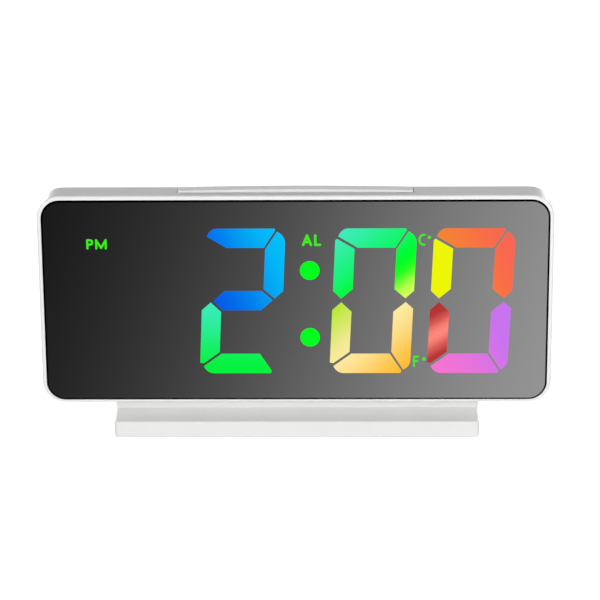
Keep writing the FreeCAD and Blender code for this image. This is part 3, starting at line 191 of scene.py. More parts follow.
class Finish(Tree):
    """One material under construction, with a short call for each pattern that it may hold."""

    def __init__(self, name, **sockets):
        self.name = name
        self.material = bpy.data.materials.new(name)
        self.material.use_nodes = True
        super().__init__(self.material.node_tree)
        self.shader = self.node("ShaderNodeBsdfPrincipled")
        self.place = self.node("ShaderNodeTexCoord", output="Object")
        self.end = self.node("ShaderNodeOutputMaterial", None, {0: self.shader})
        self.set(**sockets)

    def set(self, **sockets):
        """Give the main shader's sockets their values, with an underscore for each space in a name."""
        for name, value in sockets.items():
            self.join(self.shader.socket.node.inputs[name.replace("_", " ")], value)

    def gloss(self):
        """Give the finish its own uneven roughness, from the table of glosses."""
        least, size, more = GLOSS[self.name]
        self.set(Roughness=least + self.noise(size) * more)

    def along(self, direction):
        """Return a point's place along a direction, in metres."""
        settings = {"operation": "DOT_PRODUCT"}
        return self.node("ShaderNodeVectorMath", settings, {0: self.place, 1: tuple(direction)}, "Value")

    def noise(self, size, detail=2.0, roughness=0.5):
        """Return a cloudy pattern from 0 to 1 whose spots are about the given size."""
        inputs = {"Vector": self.place, "Scale": 1 / size, "Detail": detail, "Roughness": roughness}
        return self.node("ShaderNodeTexNoise", None, inputs)

    def blend(self, share, first, second):
        """Return a colour that goes from the first to the second as the share goes from 0 to 1."""
        return self.node("ShaderNodeMix", {"data_type": "RGBA"}, {0: share, 6: first, 7: second}, 2)

    def ramp(self, share, stops):
        """Return a colour that passes through the stops as the share goes from 0 to 1."""
        return self.node("ShaderNodeValToRGB", {"stops": stops}, {0: share})

    def bump(self, height, distance, strength=1.0):
        """Raise the surface by a value from 0 to 1 times a distance."""
        inputs = {"Height": height, "Distance": distance, "Strength": strength}
        self.set(Normal=self.node("ShaderNodeBump", None, inputs))


# Plain finishes: the least roughness, the size of the spots, and how much rougher they make it
GLOSS = {
    "black tape": (0.7, 0.6 * MM, 0.2),
    "unlit milky plastic": (0.45, 1.5 * MM, 0.1),
    "reflector plastic": (0.5, 0.4 * MM, 0.15),
    "circuit board": (0.32, 1.2 * MM, 0.1),
    "grey ribbon": (0.45, 2 * MM, 0.1),
    "red wire": (0.35, 1 * MM, 0.1),
    "cell sleeve": (0.28, 2 * MM, 0.1),
}

# Colours of the small pieces, as they show on a screen
SHADES = {
    "milky": (150, 152, 155),
    "reflector front": (28, 28, 30),
    "reflector wall": (235, 235, 232),
    "board": (20, 92, 52),
    "board line": (34, 128, 72),
    "moulding": (34, 34, 36),
    "ribbon": (196, 196, 198),
    "ribbon line": (150, 150, 154),
    "wire": (190, 28, 28),
    "wire spot": (172, 22, 24),
    "cell end": (200, 200, 202),
    "cell sleeve": (88, 112, 136),
    "pad": (52, 52, 54),
}
SHADES = {name: screen(*shown) for name, shown in SHADES.items()}

# Moulded plastic: soft spots and a fine grain dim its colour a little and change its gloss
PLASTIC_SHINE = 0.35
BUTTON_SHINE = 0.1
SPOT_SIZE = 18 * MM
SPOT_EDGES = (0.35, 0.65)
SPOT_SHARE = 0.5
SPOT_GLOSS = 0.08
GRAIN_DETAIL = 3.0
GRAIN_ROUGHNESS = 0.6
GRAIN_STRENGTH = 0.6
GRAIN_SHARE = 0.25
GRAIN_GLOSS = 0.12
DIMMED_SHARE = 0.965

# Roughness, grain and depth of grain of the mouldings that are no part of the housing
INNER_MOULDING = (0.5, 0.15 * MM, 0.006 * MM)
MARK_MOULDING = (0.5, 0.2 * MM, 0.004 * MM)


def moulded(name, colour, roughness, grain, depth, shine=PLASTIC_SHINE):
    """Return moulded plastic: a fine sparked grain, and a faint unevenness of gloss and colour."""
    finish = Finish(name, Specular_IOR_Level=shine)
    spots = finish.noise(SPOT_SIZE)
    fine = finish.noise(grain, GRAIN_DETAIL, GRAIN_ROUGHNESS)
    dimmed = tuple(part * DIMMED_SHARE for part in colour)
    share = spots.step(*SPOT_EDGES) * SPOT_SHARE + fine * GRAIN_SHARE
    finish.set(Base_Color=finish.blend(share, colour, dimmed))
    finish.set(Roughness=roughness + (fine - 0.5) * GRAIN_GLOSS + (spots - 0.5) * SPOT_GLOSS)
    finish.bump(fine, depth, GRAIN_STRENGTH)
    return finish.material


def dress(material, *nodes):
    """Give these nodes a material."""
    for node in nodes:
        frame["nodes"][node].material_slots[0].material = material


def piece(name, points, faces, material, body):
    """Make one piece from points and faces, on a body and with a record's material slot."""
    mesh = bpy.data.meshes.new(name)
    mesh.from_pydata(np.asarray(points).tolist(), [], faces)
    mesh.materials.append(material)
    mesh.validate()
    made = bpy.data.objects.new(name, mesh)
    bpy.context.scene.collection.objects.link(made)
    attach(made, body)
    return made


def grid_faces(rows, columns, closed_rows=False, closed_columns=False):
    """Return the corners of every cell of a grid of points, numbered row by row."""
    row = np.arange(rows if closed_rows else rows - 1)
    column = np.arange(columns if closed_columns else columns - 1)
    first, second = np.meshgrid(row, column, indexing="ij")
    after = (first + 1) % rows
    beside = (second + 1) % columns
    cells = [first * columns + second, after * columns + second,
             after * columns + beside, first * columns + beside]
    return np.stack(cells, -1).reshape(-1, 4)


def tube(path, radius, sides, level):
    """Return a closed round tube along a path.

    Each point of the path carries a ring: the radius times the cosine of an even turn along the side
    direction, which is at right angles to the path and to a fixed level direction, plus the radius
    times its sine along the direction at right angles to both. A flat face closes each end.
    """
    along = np.gradient(path, axis=0)
    along /= np.linalg.norm(along, axis=1, keepdims=True)
    side = np.cross(along, level)
    side /= np.linalg.norm(side, axis=1, keepdims=True)
    other = np.cross(along, side)
    turn = np.linspace(0, 2 * np.pi, sides, endpoint=False)[None, :, None]
    rings = path[:, None] + radius * (np.cos(turn) * side[:, None] + np.sin(turn) * other[:, None])
    faces = grid_faces(len(path), sides, closed_columns=True).tolist()
    last = (len(path) - 1) * sides
    faces.append(list(range(sides)))
    faces.append(list(range(last + sides - 1, last - 1, -1)))
    return rings.reshape(-1, 3), faces


def outward(made):
    """Turn a closed piece's faces outwards."""
    shape = bmesh.new()
    shape.from_mesh(made.data)
    bmesh.ops.remove_doubles(shape, verts=shape.verts, dist=MM / 1000)
    bmesh.ops.recalc_face_normals(shape, faces=shape.faces)
    shape.to_mesh(made.data)
    shape.free()


# How each lit bar's colour runs: the way it runs in degrees up from level, and its stops along that way
GLOW = {
    "hour_bars_blue": (24, (
        (0.0, (6, 90, 228)), (0.2, (3, 106, 234)), (0.4, (3, 130, 238)), (0.6, (4, 160, 241)),
        (0.8, (3, 182, 247)), (1.0, (4, 193, 248)))),
    "hour_bars_green": (-90, (
        (0.0, (60, 235, 190)), (0.3, (45, 237, 158)), (0.6, (23, 240, 107)), (0.85, (6, 242, 66)),
        (1.0, (5, 242, 58)))),
    "ten_minute_bars_green": (-52, (
        (0.0, (66, 234, 190)), (0.3, (32, 242, 134)), (0.55, (4, 249, 66)), (0.66, (1, 254, 36)),
        (0.75, (34, 254, 32)), (0.82, (104, 254, 49)), (0.9, (180, 254, 75)), (1.0, (218, 254, 90)))),
    "ten_minute_bars_amber": (-48, (
        (0.0, (180, 233, 45)), (0.2, (215, 233, 105)), (0.33, (240, 233, 143)), (0.47, (253, 234, 160)),
        (0.62, (254, 223, 139)), (0.85, (254, 199, 77)), (1.0, (251, 186, 45)))),
    "minute_bars_orange": (24, (
        (0.0, (242, 135, 46)), (0.3, (246, 124, 59)), (0.6, (249, 110, 69)), (0.85, (249, 103, 80)),
        (1.0, (242, 104, 86)))),
    "minute_bar_yellow": (90, (
        (0.0, (236, 246, 5)), (1.0, (238, 247, 8)))),
    "minute_bar_red": (-60, (
        (0.0, (178, 50, 50)), (0.18, (183, 54, 54)), (0.32, (214, 90, 83)), (0.46, (249, 129, 118)),
        (0.54, (254, 137, 125)), (0.62, (250, 131, 120)), (0.75, (220, 96, 90)), (0.9, (186, 57, 56)),
        (1.0, (180, 50, 50)))),
    "minute_bars_magenta": (28, (
        (0.0, (245, 116, 207)), (0.25, (238, 115, 214)), (0.5, (222, 115, 226)), (0.75, (203, 115, 238)),
        (1.0, (199, 116, 240)))),
}


def glowing(name, node, degrees, stops, strength):
    """Return a glowing finish whose colour runs across a node in one direction of the face."""
    finish = Finish(name, Base_Color=BLACK, Roughness=1.0, Specular_IOR_Level=0.0)
    turn = math.radians(degrees)
    way = ACROSS * math.cos(turn) + UP * math.sin(turn)
    low, high = reach(node, way)
    share = (finish.along(way) - float(low)) / float(high - low)
    colour = finish.ramp(share, [(position, screen(*shown)) for position, shown in stops])
    finish.set(Emission_Color=colour, Emission_Strength=strength)
    return finish.material


# A face whose normal leans less than this towards the back is a side wall of a flat piece
WALL_LEAN = 0.5

# Ways in which a point's walls spread less than this share of the most don't move it
LEAST_SPREAD = 0.001


def drawn_in(made, distance):
    """Draw the outline of a flat closed piece in by a distance.

    Each point moves level with the face by the shortest move that takes every side wall at it inwards
    by the distance: the sum over its walls of each normal times itself, inverted, times their sum.
    """
    mesh = made.data
    points = np.empty(len(mesh.vertices) * 3)
    normals = np.empty(len(mesh.polygons) * 3)
    corners = np.empty(len(mesh.polygons) * 3, dtype=int)
    mesh.vertices.foreach_get("co", points)
    mesh.polygons.foreach_get("normal", normals)
    mesh.polygons.foreach_get("vertices", corners)
    points = points.reshape(-1, 3)
    normals = normals.reshape(-1, 3)
    walls = np.abs(normals @ BACK) < WALL_LEAN
    corner = corners.reshape(-1, 3)[walls].ravel()
    normal = np.repeat(normals[walls], 3, axis=0)
    total = np.zeros_like(points)
    spread = np.tile(np.outer(BACK, BACK), (len(points), 1, 1))
    np.add.at(total, corner, normal)
    np.add.at(spread, corner, normal[:, :, None] * normal[:, None, :])
    points -= distance * (np.linalg.pinv(spread, rcond=LEAST_SPREAD) @ total[:, :, None])[:, :, 0]
    mesh.vertices.foreach_set("co", points.ravel())
    mesh.update()


# An image's layer, in shares of how far it stands on the mirror, so that its back lies in the mirror
IMAGE_LAYER = 1.5


def lit_image(node, material):
    """Make the image that a lit node shows on the mirror.

    The image has the node's own outline, drawn in a little: each point keeps its place across and up
    the face, and its depth is scaled from the node's own reach to the thin layer on the mirror's front.
    """
    settings = bpy.context.scene.desk_clock_face
    points = points_of(node)
    depth = points @ BACK
    low, high = depth.min(), depth.max()
    front = reach("mirror_lens", BACK)[0] - settings.image_rise
    wanted = front + (depth - low) / (high - low) * settings.image_rise * IMAGE_LAYER
    points = points + np.outer(wanted - depth, BACK)
    faces = [tuple(face.vertices) for face in frame["nodes"][node].data.polygons]
    name = node.replace("_bars", "").replace("_bar", "") + "_image"
    made = piece(name, points, faces, material, "clock")
    outward(made)
    drawn_in(made, settings.image_inset)
    return made


class DeskClockFace(bpy.types.PropertyGroup):
    """Sizes and colours of the mirror face and what glows on it."""

    image_rise: FloatProperty(name="Image rise", description="How far the lit image stands on the mirror",
                              default=0.02 * MM, subtype="DISTANCE", precision=6)
    image_inset: FloatProperty(name="Image inset", description="How far each lit outline is drawn in",
                               default=0.07 * MM, subtype="DISTANCE", precision=6)
    # The black line round the mirror is partly its black edge and partly painted shadow of the dark gap round
    # it; its drop paints the shadow under the frame's top lip
    border_width: FloatProperty(name="Border width", description="Width of the black line round the mirror",
                                default=0.5 * MM, subtype="DISTANCE", precision=6)
    lip_shadow_drop: FloatProperty(name="Border drop", default=0.14 * MM, subtype="DISTANCE", precision=6,
                               description="Half of how much wider the line is above than below")
    mirror_corner: FloatProperty(name="Mirror corner", description="Corner radius of the mirror",
                                 default=6.47 * MM, subtype="DISTANCE", precision=6)
    mirror_shine: FloatVectorProperty(name="Mirror shine", description="How much of each colour it reflects",
                                      default=(0.3, 0.3, 0.3), subtype="COLOR")
    mirror_roughness: FloatProperty(name="Mirror roughness", description="Blur of its reflections",
                                    default=0.04, min=0.0, max=1.0, subtype="FACTOR")
    glow: FloatProperty(name="Glow", description="Strength of the lit images", default=1.0, min=0.0)
    dot_colour: FloatVectorProperty(name="Dot colour", description="Colour of the colon",
                                    default=screen(0, 255, 30), subtype="COLOR")
    mark_colour: FloatVectorProperty(name="Mark colour", description="Colour of the small marks",
                                     default=screen(62, 240, 28), subtype="COLOR")


class DeskClockHousing(bpy.types.PropertyGroup):
    """Colours and grain of the housing's plastic."""

    rim_colour: FloatVectorProperty(name="Rim colour", description="Plastic of the front frame",
                                    default=screen(252, 252, 252), subtype="COLOR")
    # The cover's white plastic is set greyer than the frame's, so that its top shows darker: painted shade
    shaded_cover_colour: FloatVectorProperty(name="Cover colour", description="Plastic of the cover and its door",
                                      default=screen(224, 224, 224), subtype="COLOR")
    foot_colour: FloatVectorProperty(name="Foot colour", description="Plastic of the foot",
                                     default=screen(249, 249, 248), subtype="COLOR")
    button_colour: FloatVectorProperty(name="Button colour", description="Plastic of the snooze bar and keys",
                                       default=screen(244, 244, 244), subtype="COLOR")
    roughness: FloatProperty(name="Roughness", description="Roughness of the plastic", default=0.42,
                             min=0.0, max=1.0, subtype="FACTOR")
    grain: FloatProperty(name="Grain", description="Size of the sparked grain", default=0.22 * MM,
                         subtype="DISTANCE", precision=6)
    grain_depth: FloatProperty(name="Grain depth", description="Depth of the sparked grain",
                               default=0.003 * MM, subtype="DISTANCE", precision=6)


class DeskClockTrim(bpy.types.PropertyGroup):
    """Sizes of the battery springs and of the raised marks on the keys."""

    wire_radius: FloatProperty(name="Wire radius", description="Radius of the spring wire", default=0.25 * MM,
                               subtype="DISTANCE", precision=6)
    spring_turns: IntProperty(name="Spring turns", description="Turns of each spring", default=5,
                              min=2, max=12)
    spring_base: FloatProperty(name="Spring base", description="Outer radius of a spring at its plate",
                               default=3.4 * MM, subtype="DISTANCE", precision=6)
    spring_tip: FloatProperty(name="Spring tip", description="Outer radius of a spring at its cell",
                              default=2.2 * MM, subtype="DISTANCE", precision=6)
    mark_rise: FloatProperty(name="Mark rise", description="Height of the raised marks on the keys",
                             default=0.12 * MM, subtype="DISTANCE", precision=6)
    mark_size: FloatProperty(name="Mark size", description="Half the width of a key's mark",
                             default=1.25 * MM, subtype="DISTANCE", precision=6)
    mark_colour: FloatVectorProperty(name="Mark colour", description="Colour of the marks on the keys",
                                     default=screen(132, 134, 138), subtype="COLOR")


class DeskClockStudio(bpy.types.PropertyGroup):
    """Camera and lamps."""

    target: FloatVectorProperty(name="Target", description="Point that the camera looks at",
                                default=(1.6 * MM, -18.2 * MM, 52.9 * MM), subtype="XYZ", precision=5)
    distance: FloatProperty(name="Distance", description="From the camera to its target", default=0.8896,
                            subtype="DISTANCE")
    elevation: FloatProperty(name="Elevation", description="How high the camera looks from",
                             default=math.radians(25.624), subtype="ANGLE")
    heading: FloatProperty(name="Heading", description="How far to the right the camera stands",
                           default=math.radians(1.15), subtype="ANGLE")
    roll: FloatProperty(name="Roll", description="Turn of the picture", default=math.radians(-0.594),
                        subtype="ANGLE")
    focal_length: FloatProperty(name="Focal length", description="In millimetres on a 36 mm sensor",
                                default=153.22, unit="CAMERA")
    low_power: FloatProperty(name="Low front lamp", description="Power of the low front lamp", default=7.6,
                             unit="POWER")
    high_power: FloatProperty(name="High front lamp", description="Power of the high front lamp", default=9.0,
                              unit="POWER")
    rear_power: FloatProperty(name="Rear lamps", description="Power of each rear lamp", default=11.0,
                              unit="POWER")
    ambient: FloatProperty(name="Ambient", description="Light from all around", default=0.22)
    floor_glow: FloatProperty(name="Floor glow", description="Brightness of the floor in its own shadow",
                              default=0.85)
    card_distance: FloatProperty(name="Card distance", description="From the clock to the card in the mirror",
                                 default=0.35, subtype="DISTANCE")


class DESKCLOCK_OT_housing(bpy.types.Operator):
    """Finish the white plastic of the frame, cover, door, foot, snooze bar and keys"""

    bl_idname = "desk_clock.housing"
    bl_label = "Housing"

    def execute(self, context):
        look = context.scene.desk_clock_housing
        sizes = (look.roughness, look.grain, look.grain_depth)
        dress(moulded("rim plastic", look.rim_colour, *sizes), "front_frame")
        # The cover's plastic is a greyer copy of the white plastic, which paints shade on its top
        dress(moulded("cover plastic", look.shaded_cover_colour, *sizes), "rear_cover", "battery_door")
        dress(moulded("foot plastic", look.foot_colour, *sizes), "base_shell", "base_plate")
        keys = [node for node in frame["nodes"] if node.endswith("_key")]
        dress(moulded("button plastic", look.button_colour, *sizes, shine=BUTTON_SHINE), "snooze_bar", *keys)
        return {"FINISHED"}


# The mirror: how softly its black line ends, the line being partly its black edge and partly painted shadow,
# and its faint spots of blur
LINE_BLUR = 0.08 * MM
MIRROR_SPOT_SIZE = 40 * MM
MIRROR_SPOT_GLOSS = 0.01
TAPE_BLACK = (0.01, 0.01, 0.01)


class DESKCLOCK_OT_mirror(bpy.types.Operator):
    """Finish the half-mirror with its black edge line, partly painted shadow of the gap and of the frame's
    lip, and the tape behind it
    """

    bl_idname = "desk_clock.mirror"
    bl_label = "Mirror"

    def execute(self, context):
        face = context.scene.desk_clock_face
        finish = Finish("smoked half mirror", Metallic=1.0)
        half_x = reach("mirror_lens", ACROSS)[1]
        low, high = reach("mirror_lens", UP)
        corner = face.mirror_corner
        # Moving the line's middle down paints the shadow under the frame's top lip: the line is wider above
        # than below
        middle = (low + high) / 2 - face.lip_shadow_drop
        aside = abs(finish.along(ACROSS)) - float(half_x - corner)
        above = abs(finish.along(UP) - float(middle)) - float((high - low) / 2 - corner)
        far = (aside.most(0.0) ** 2.0 + above.most(0.0) ** 2.0) ** 0.5
        inside = corner - far - aside.most(above).least(0.0)
        clear = inside.step(face.border_width, face.border_width + LINE_BLUR)
        spots = finish.noise(MIRROR_SPOT_SIZE)
        finish.set(Base_Color=finish.blend(clear, BLACK, tuple(face.mirror_shine)))
        finish.set(Roughness=face.mirror_roughness + spots * MIRROR_SPOT_GLOSS)
        dress(finish.material, "mirror_lens")
        tape = Finish("black tape", Base_Color=TAPE_BLACK)
        tape.gloss()
        dress(tape.material, "lens_tape")
        return {"FINISHED"}


# The dots and marks: soft spots in their glow. The reflector: where its dark front ends in depth
GLOW_SPOT_SIZE = 2.5 * MM
GLOW_SPOT_SHARE = 0.2
GLOW_DIMMED_SHARE = 0.9
FRONT_EDGES = (0.02 * MM, 0.06 * MM)


class DESKCLOCK_OT_display(bpy.types.Operator):
    """Light the digits, the colon and the small marks, and show their images on the mirror"""

    bl_idname = "desk_clock.display"
    bl_label = "Display"

    def execute(self, context):
        face = context.scene.desk_clock_face
        for node, colour in (("colon_dots", face.dot_colour), ("indicator_marks", face.mark_colour)):
            finish = Finish(node.replace("_", " ") + " glow", Base_Color=BLACK, Roughness=1.0,
                            Specular_IOR_Level=0.0, Emission_Strength=face.glow)
            share = finish.noise(GLOW_SPOT_SIZE) * GLOW_SPOT_SHARE
            dimmed = tuple(part * GLOW_DIMMED_SHARE for part in colour)
            finish.set(Emission_Color=finish.blend(share, tuple(colour), dimmed))
            dress(finish.material, node)
            lit_image(node, finish.material)
        for node, (degrees, stops) in GLOW.items():
            material = glowing(node.replace("_", " ") + " glow", node, degrees, stops, face.glow)
            dress(material, node)
            lit_image(node, material)
        milky = Finish("unlit milky plastic", Base_Color=SHADES["milky"])
        milky.gloss()
        dress(milky.material, "unlit_bars", "segment_leds")
        block = Finish("reflector plastic")
        front = float(reach("digit_reflector", BACK)[0])
        behind = (block.along(BACK) - front).step(*FRONT_EDGES)
        block.set(Base_Color=block.blend(behind, SHADES["reflector front"], SHADES["reflector wall"]))
        block.gloss()
        dress(block.material, "digit_reflector")
        return {"FINISHED"}


# The boards' raised lines, the ribbon's wires and the spots of the wires' colour
BOARD_CELL = 4 * MM
BOARD_LINE_SHARE = 0.06
BOARD_LINE_RISE = 0.02 * MM
RIBBON_PITCH = 1.27 * MM
WIRE_SPOT_SIZE = 3 * MM


class DESKCLOCK_OT_electronics(bpy.types.Operator):
    """Finish the boards, chips, switches, wires and speaker"""

    bl_idname = "desk_clock.electronics"
    bl_label = "Electronics"

    def execute(self, context):
        board = Finish("circuit board")
        pattern = {"Vector": board.place, "Scale": 1 / BOARD_CELL, "Mortar Size": BOARD_LINE_SHARE,
                   "Color1": BLACK, "Color2": BLACK, "Mortar": WHITE}
        lines = board.node("ShaderNodeTexBrick", None, pattern, "Fac")
        board.set(Base_Color=board.blend(lines, SHADES["board"], SHADES["board line"]))
        board.gloss()
        board.bump(lines, BOARD_LINE_RISE)
        dress(board.material, "display_board", "control_board")
        black = moulded("black moulding", SHADES["moulding"], *INNER_MOULDING)
        dress(black, "driver_chips", "control_chip", "key_switches", "snooze_switches", "snooze_plungers",
              "coin_cell_holder", "speaker", "temperature_sensor",
              *[node for node in frame["nodes"] if node.endswith("_key_plunger")])
        ribbon = Finish("grey ribbon")
        stripes = abs(ribbon.along(ACROSS) / RIBBON_PITCH % 1.0 - 0.5) * 2.0
        ribbon.set(Base_Color=ribbon.blend(stripes, SHADES["ribbon"], SHADES["ribbon line"]))
        ribbon.gloss()
        dress(ribbon.material, "ribbon_cable")
        wire = Finish("red wire")
        spots = wire.noise(WIRE_SPOT_SIZE)
        wire.set(Base_Color=wire.blend(spots, SHADES["wire"], SHADES["wire spot"]))
        wire.gloss()
        dress(wire.material, "battery_wires", "speaker_wires")
        return {"FINISHED"}


# Plated steel: streaks along the height, between a light and a dark grey
STEEL_LIGHT = (0.62, 0.61, 0.6)
STEEL_DARK = (0.5, 0.49, 0.48)
STEEL_ROUGHNESS = 0.24
STREAK_SIZE = 2 * MM
STREAK_STRETCH = (1.0, 1.0, 12.0)
STREAK_DETAIL = 3.0
STREAK_GLOSS = 0.16

# Steps in one turn of a spring, and sides of its wire
TURN_STEPS = 16
WIRE_SIDES = 10


class DESKCLOCK_OT_metal(bpy.types.Operator):
    """Finish the screws, plates, socket and coin cell, and wind the battery springs from wire"""

    bl_idname = "desk_clock.metal"
    bl_label = "Metal"

    def execute(self, context):
        steel = Finish("plated steel", Metallic=1.0)
        stretched = {0: steel.place, 1: STREAK_STRETCH}
        place = steel.node("ShaderNodeVectorMath", {"operation": "MULTIPLY"}, stretched, "Vector")
        pattern = {"Vector": place, "Scale": 1 / STREAK_SIZE, "Detail": STREAK_DETAIL}
        streaks = steel.node("ShaderNodeTexNoise", None, pattern)
        steel.set(Base_Color=steel.blend(streaks, STEEL_LIGHT, STEEL_DARK))
        steel.set(Roughness=STEEL_ROUGHNESS + streaks * STREAK_GLOSS)
        dress(steel.material, "display_board_screws", "housing_screws", "control_board_screws",
              "base_screws", "base_plate_screws", "battery_springs", "battery_plates", "power_socket",
              "clock_crystal", "coin_cell")
        self.wind_springs(context.scene.desk_clock_trim, steel.material)
        return {"FINISHED"}

    def wind_springs(self, trim, steel):
        """Wind three tapered springs between the end plates and the cells.

        Each wire follows a helix: its place runs evenly along the cell while its distance from the
        cell's axis shrinks evenly from the spring's base to its tip.
        """
        left, right = reach("battery_springs", ACROSS)
        low, high = reach("battery_springs", UP)
        depth = np.mean(reach("battery_springs", BACK))
        places = points_of("battery_springs") @ ACROSS
        length = places[places < 0].max() - left
        turn = np.linspace(0, 2 * np.pi * trim.spring_turns, trim.spring_turns * TURN_STEPS + 1)
        share = turn / turn[-1]
        radius = trim.spring_base + (trim.spring_tip - trim.spring_base) * share - trim.wire_radius
        heights = (low + trim.spring_base, (low + high) / 2, high - trim.spring_base)
        points = []
        faces = []
        for start, way, height in zip((left, right, left), (1, -1, 1), heights):
            run = start + way * (trim.wire_radius + share * (length - 2 * trim.wire_radius))
            path = (np.outer(run, ACROSS) + np.outer(depth + radius * np.cos(turn), BACK)
                    + np.outer(height + radius * np.sin(turn), UP))
            ring_points, ring_faces = tube(path, trim.wire_radius, WIRE_SIDES, ACROSS)
            faces += [[corner + len(points) * len(ring_points) for corner in face] for face in ring_faces]
            points.append(ring_points)
        made = piece("coiled_springs", np.concatenate(points), faces, steel, "clock")
        outward(made)
        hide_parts("battery_springs")


# Outlines of the key marks, in shares of half a mark's width, and the steps of their curves
TRIANGLE_SHARES = ((-1.0, -0.75), (1.0, -0.75), (0.0, 0.95))
BELL_SHARES = ((-0.72, -0.3), (-1.0, -0.45), (-1.0, -0.7), (1.0, -0.7), (1.0, -0.45), (0.72, -0.3))
DOME_SHARE = 0.72
DOME_RISE_SHARE = 0.1
BAR_SHARES = ((-0.9, -0.13), (0.9, -0.13), (0.9, 0.13), (-0.9, 0.13))
BAR_RISE_SHARES = (-0.6, 0.0, 0.6)
RING_HOLE_SHARE = 0.68
CIRCLE_STEPS = 40
DOME_STEPS = 17


def mark_outlines():
    """Return each key's raised marks as outlines, in shares of half a mark's width.

    Up and down are triangles, alarm is a bell under a half circle, mode is three level bars, and set
    is a ring, given as the pair of its outer and inner circles. A point of a circle is the cosine of
    its turn across and the sine of it up.
    """
    triangle = np.array(TRIANGLE_SHARES)
    turn = np.linspace(0, 2 * np.pi, CIRCLE_STEPS, endpoint=False)
    circle = np.stack((np.cos(turn), np.sin(turn)), 1)
    arch = np.linspace(0, np.pi, DOME_STEPS)
    dome = np.stack((DOME_SHARE * np.cos(arch), DOME_SHARE * np.sin(arch) + DOME_RISE_SHARE), 1)
    bell = np.concatenate((dome, BELL_SHARES))
    bars = [np.array(BAR_SHARES) + (0.0, rise) for rise in BAR_RISE_SHARES]
    return {"set": [(circle, circle * RING_HOLE_SHARE)], "up": [triangle], "down": [-triangle],
            "alarm": [bell], "mode": bars}


def raised(outline, low, high):
    """Return a flat raised shape between two depths: one outline closed by its caps, or a ring of two.

    Each outline stands once at either depth, point for point, and straight walls join like points. Of
    a ring, the outer outline goes from low to high and the inner one from high back to low.
    """
    loops = outline if isinstance(outline, tuple) else (outline,)
    count = len(loops[0])
    flat = np.concatenate([loops[0], loops[0], *[loop for loop in loops[1:] for repeat in (0, 1)]])
    depth = np.repeat((low, high, high, low)[:len(flat) // count], count)
    if len(loops) == 1:
        caps = [list(range(count - 1, -1, -1)), list(range(count, 2 * count))]
        return flat, depth, grid_faces(2, count, closed_columns=True).tolist() + caps
    return flat, depth, grid_faces(4, count, closed_rows=True, closed_columns=True).tolist()


class DESKCLOCK_OT_marks(bpy.types.Operator):
    """Raise a plain mark on each rear key"""

    bl_idname = "desk_clock.marks"
    bl_label = "Key marks"

    def execute(self, context):
        trim = context.scene.desk_clock_trim
        grey = moulded("mark print", trim.mark_colour, *MARK_MOULDING)
        for name, outlines in mark_outlines().items():
            node = name + "_key"
            middle = ACROSS * np.mean(reach(node, ACROSS)) + UP * np.mean(reach(node, UP))
            top = reach(node, BACK)[1]
            points = []
            faces = []
            for outline in outlines:
                flat, depth, cells = raised(outline, top - trim.mark_rise, top + trim.mark_rise)
                start = sum(len(part) for part in points)
                faces += [[corner + start for corner in cell] for cell in cells]
                points.append(middle + np.outer(flat[:, 0] * trim.mark_size, ACROSS)
                              + np.outer(flat[:, 1] * trim.mark_size, UP) + np.outer(depth, BACK))
            points = np.concatenate(points)
            outward(piece(name + "_mark", points, faces, grey, name + "_button"))
        return {"FINISHED"}


# Where a cell's sleeve begins, from the end of the cell
SLEEVE_EDGES = (6.6 * MM, 6.7 * MM)


class DESKCLOCK_OT_cells(bpy.types.Operator):
    """Wrap the three cells in a plain sleeve between bare steel ends"""

    bl_idname = "desk_clock.cells"
    bl_label = "Cells"

    def execute(self, context):
        sleeve = Finish("cell sleeve")
        low, high = reach("aaa_cells", ACROSS)
        half = float(high - low) / 2
        from_end = half - abs(sleeve.along(ACROSS) - float(low + high) / 2)
        wrapped = from_end.step(*SLEEVE_EDGES)
        sleeve.set(Base_Color=sleeve.blend(wrapped, SHADES["cell end"], SHADES["cell sleeve"]))
        sleeve.set(Metallic=1.0 - wrapped)
        sleeve.gloss()
        dress(sleeve.material, "aaa_cells")
        return {"FINISHED"}


# Foam rubber: its roughness and its pores
PAD_ROUGHNESS = 0.8
PORE_SIZE = 0.5 * MM
PORE_DETAIL = 4.0
PORE_GLOSS = 0.15
PORE_DEPTH = 0.05 * MM


class DESKCLOCK_OT_pads(bpy.types.Operator):
    """Finish the soft pads under the foot"""

    bl_idname = "desk_clock.pads"
    bl_label = "Pads"

    def execute(self, context):
        rubber = Finish("foam rubber", Base_Color=SHADES["pad"])
        pores = rubber.noise(PORE_SIZE, PORE_DETAIL)
        rubber.set(Roughness=PAD_ROUGHNESS + pores * PORE_GLOSS)
        rubber.bump(pores, PORE_DEPTH)
        dress(rubber.material, "base_pads")
        return {"FINISHED"}


def flat_stage(name, corners, material):
    """Make a flat stage piece from its four corners."""
    mesh = bpy.data.meshes.new(name)
    mesh.from_pydata(corners, [], [(0, 1, 2, 3)])
    mesh.materials.append(material)
    made = bpy.data.objects.new(name, mesh)
    bpy.context.scene.collection.objects.link(made)
    return made


def lamp(name, place, target, size, power):
    """Add a square lamp that faces the target."""
    light = bpy.data.lights.new(name, "AREA")
    light.shape = "SQUARE"
    light.size = size
    light.energy = power
    made = bpy.data.objects.new(name, light)
    made.location = place
    made.rotation_mode = "QUATERNION"
    made.rotation_quaternion = (Vector(target) - Vector(place)).to_track_quat("-Z", "Y")
    bpy.context.scene.collection.objects.link(made)


# The lamps: name, place and side in metres, and the setting that holds the power
LAMPS = (
    ("low_front_lamp", (0.05, -1.4, 0.52), 0.9, "low_power"),
    ("high_front_lamp", (0.05, -1.15, 0.95), 1.2, "high_power"),
    ("rear_lamp", (-0.85, 1.25, 0.12), 0.5, "rear_power"),
    ("rear_lamp", (0.85, 1.25, 0.12), 0.5, "rear_power"),
)

# The floor's shade and half its width in metres
FLOOR_GREY = (0.8, 0.8, 0.8)
FLOOR_HALF = 4.0

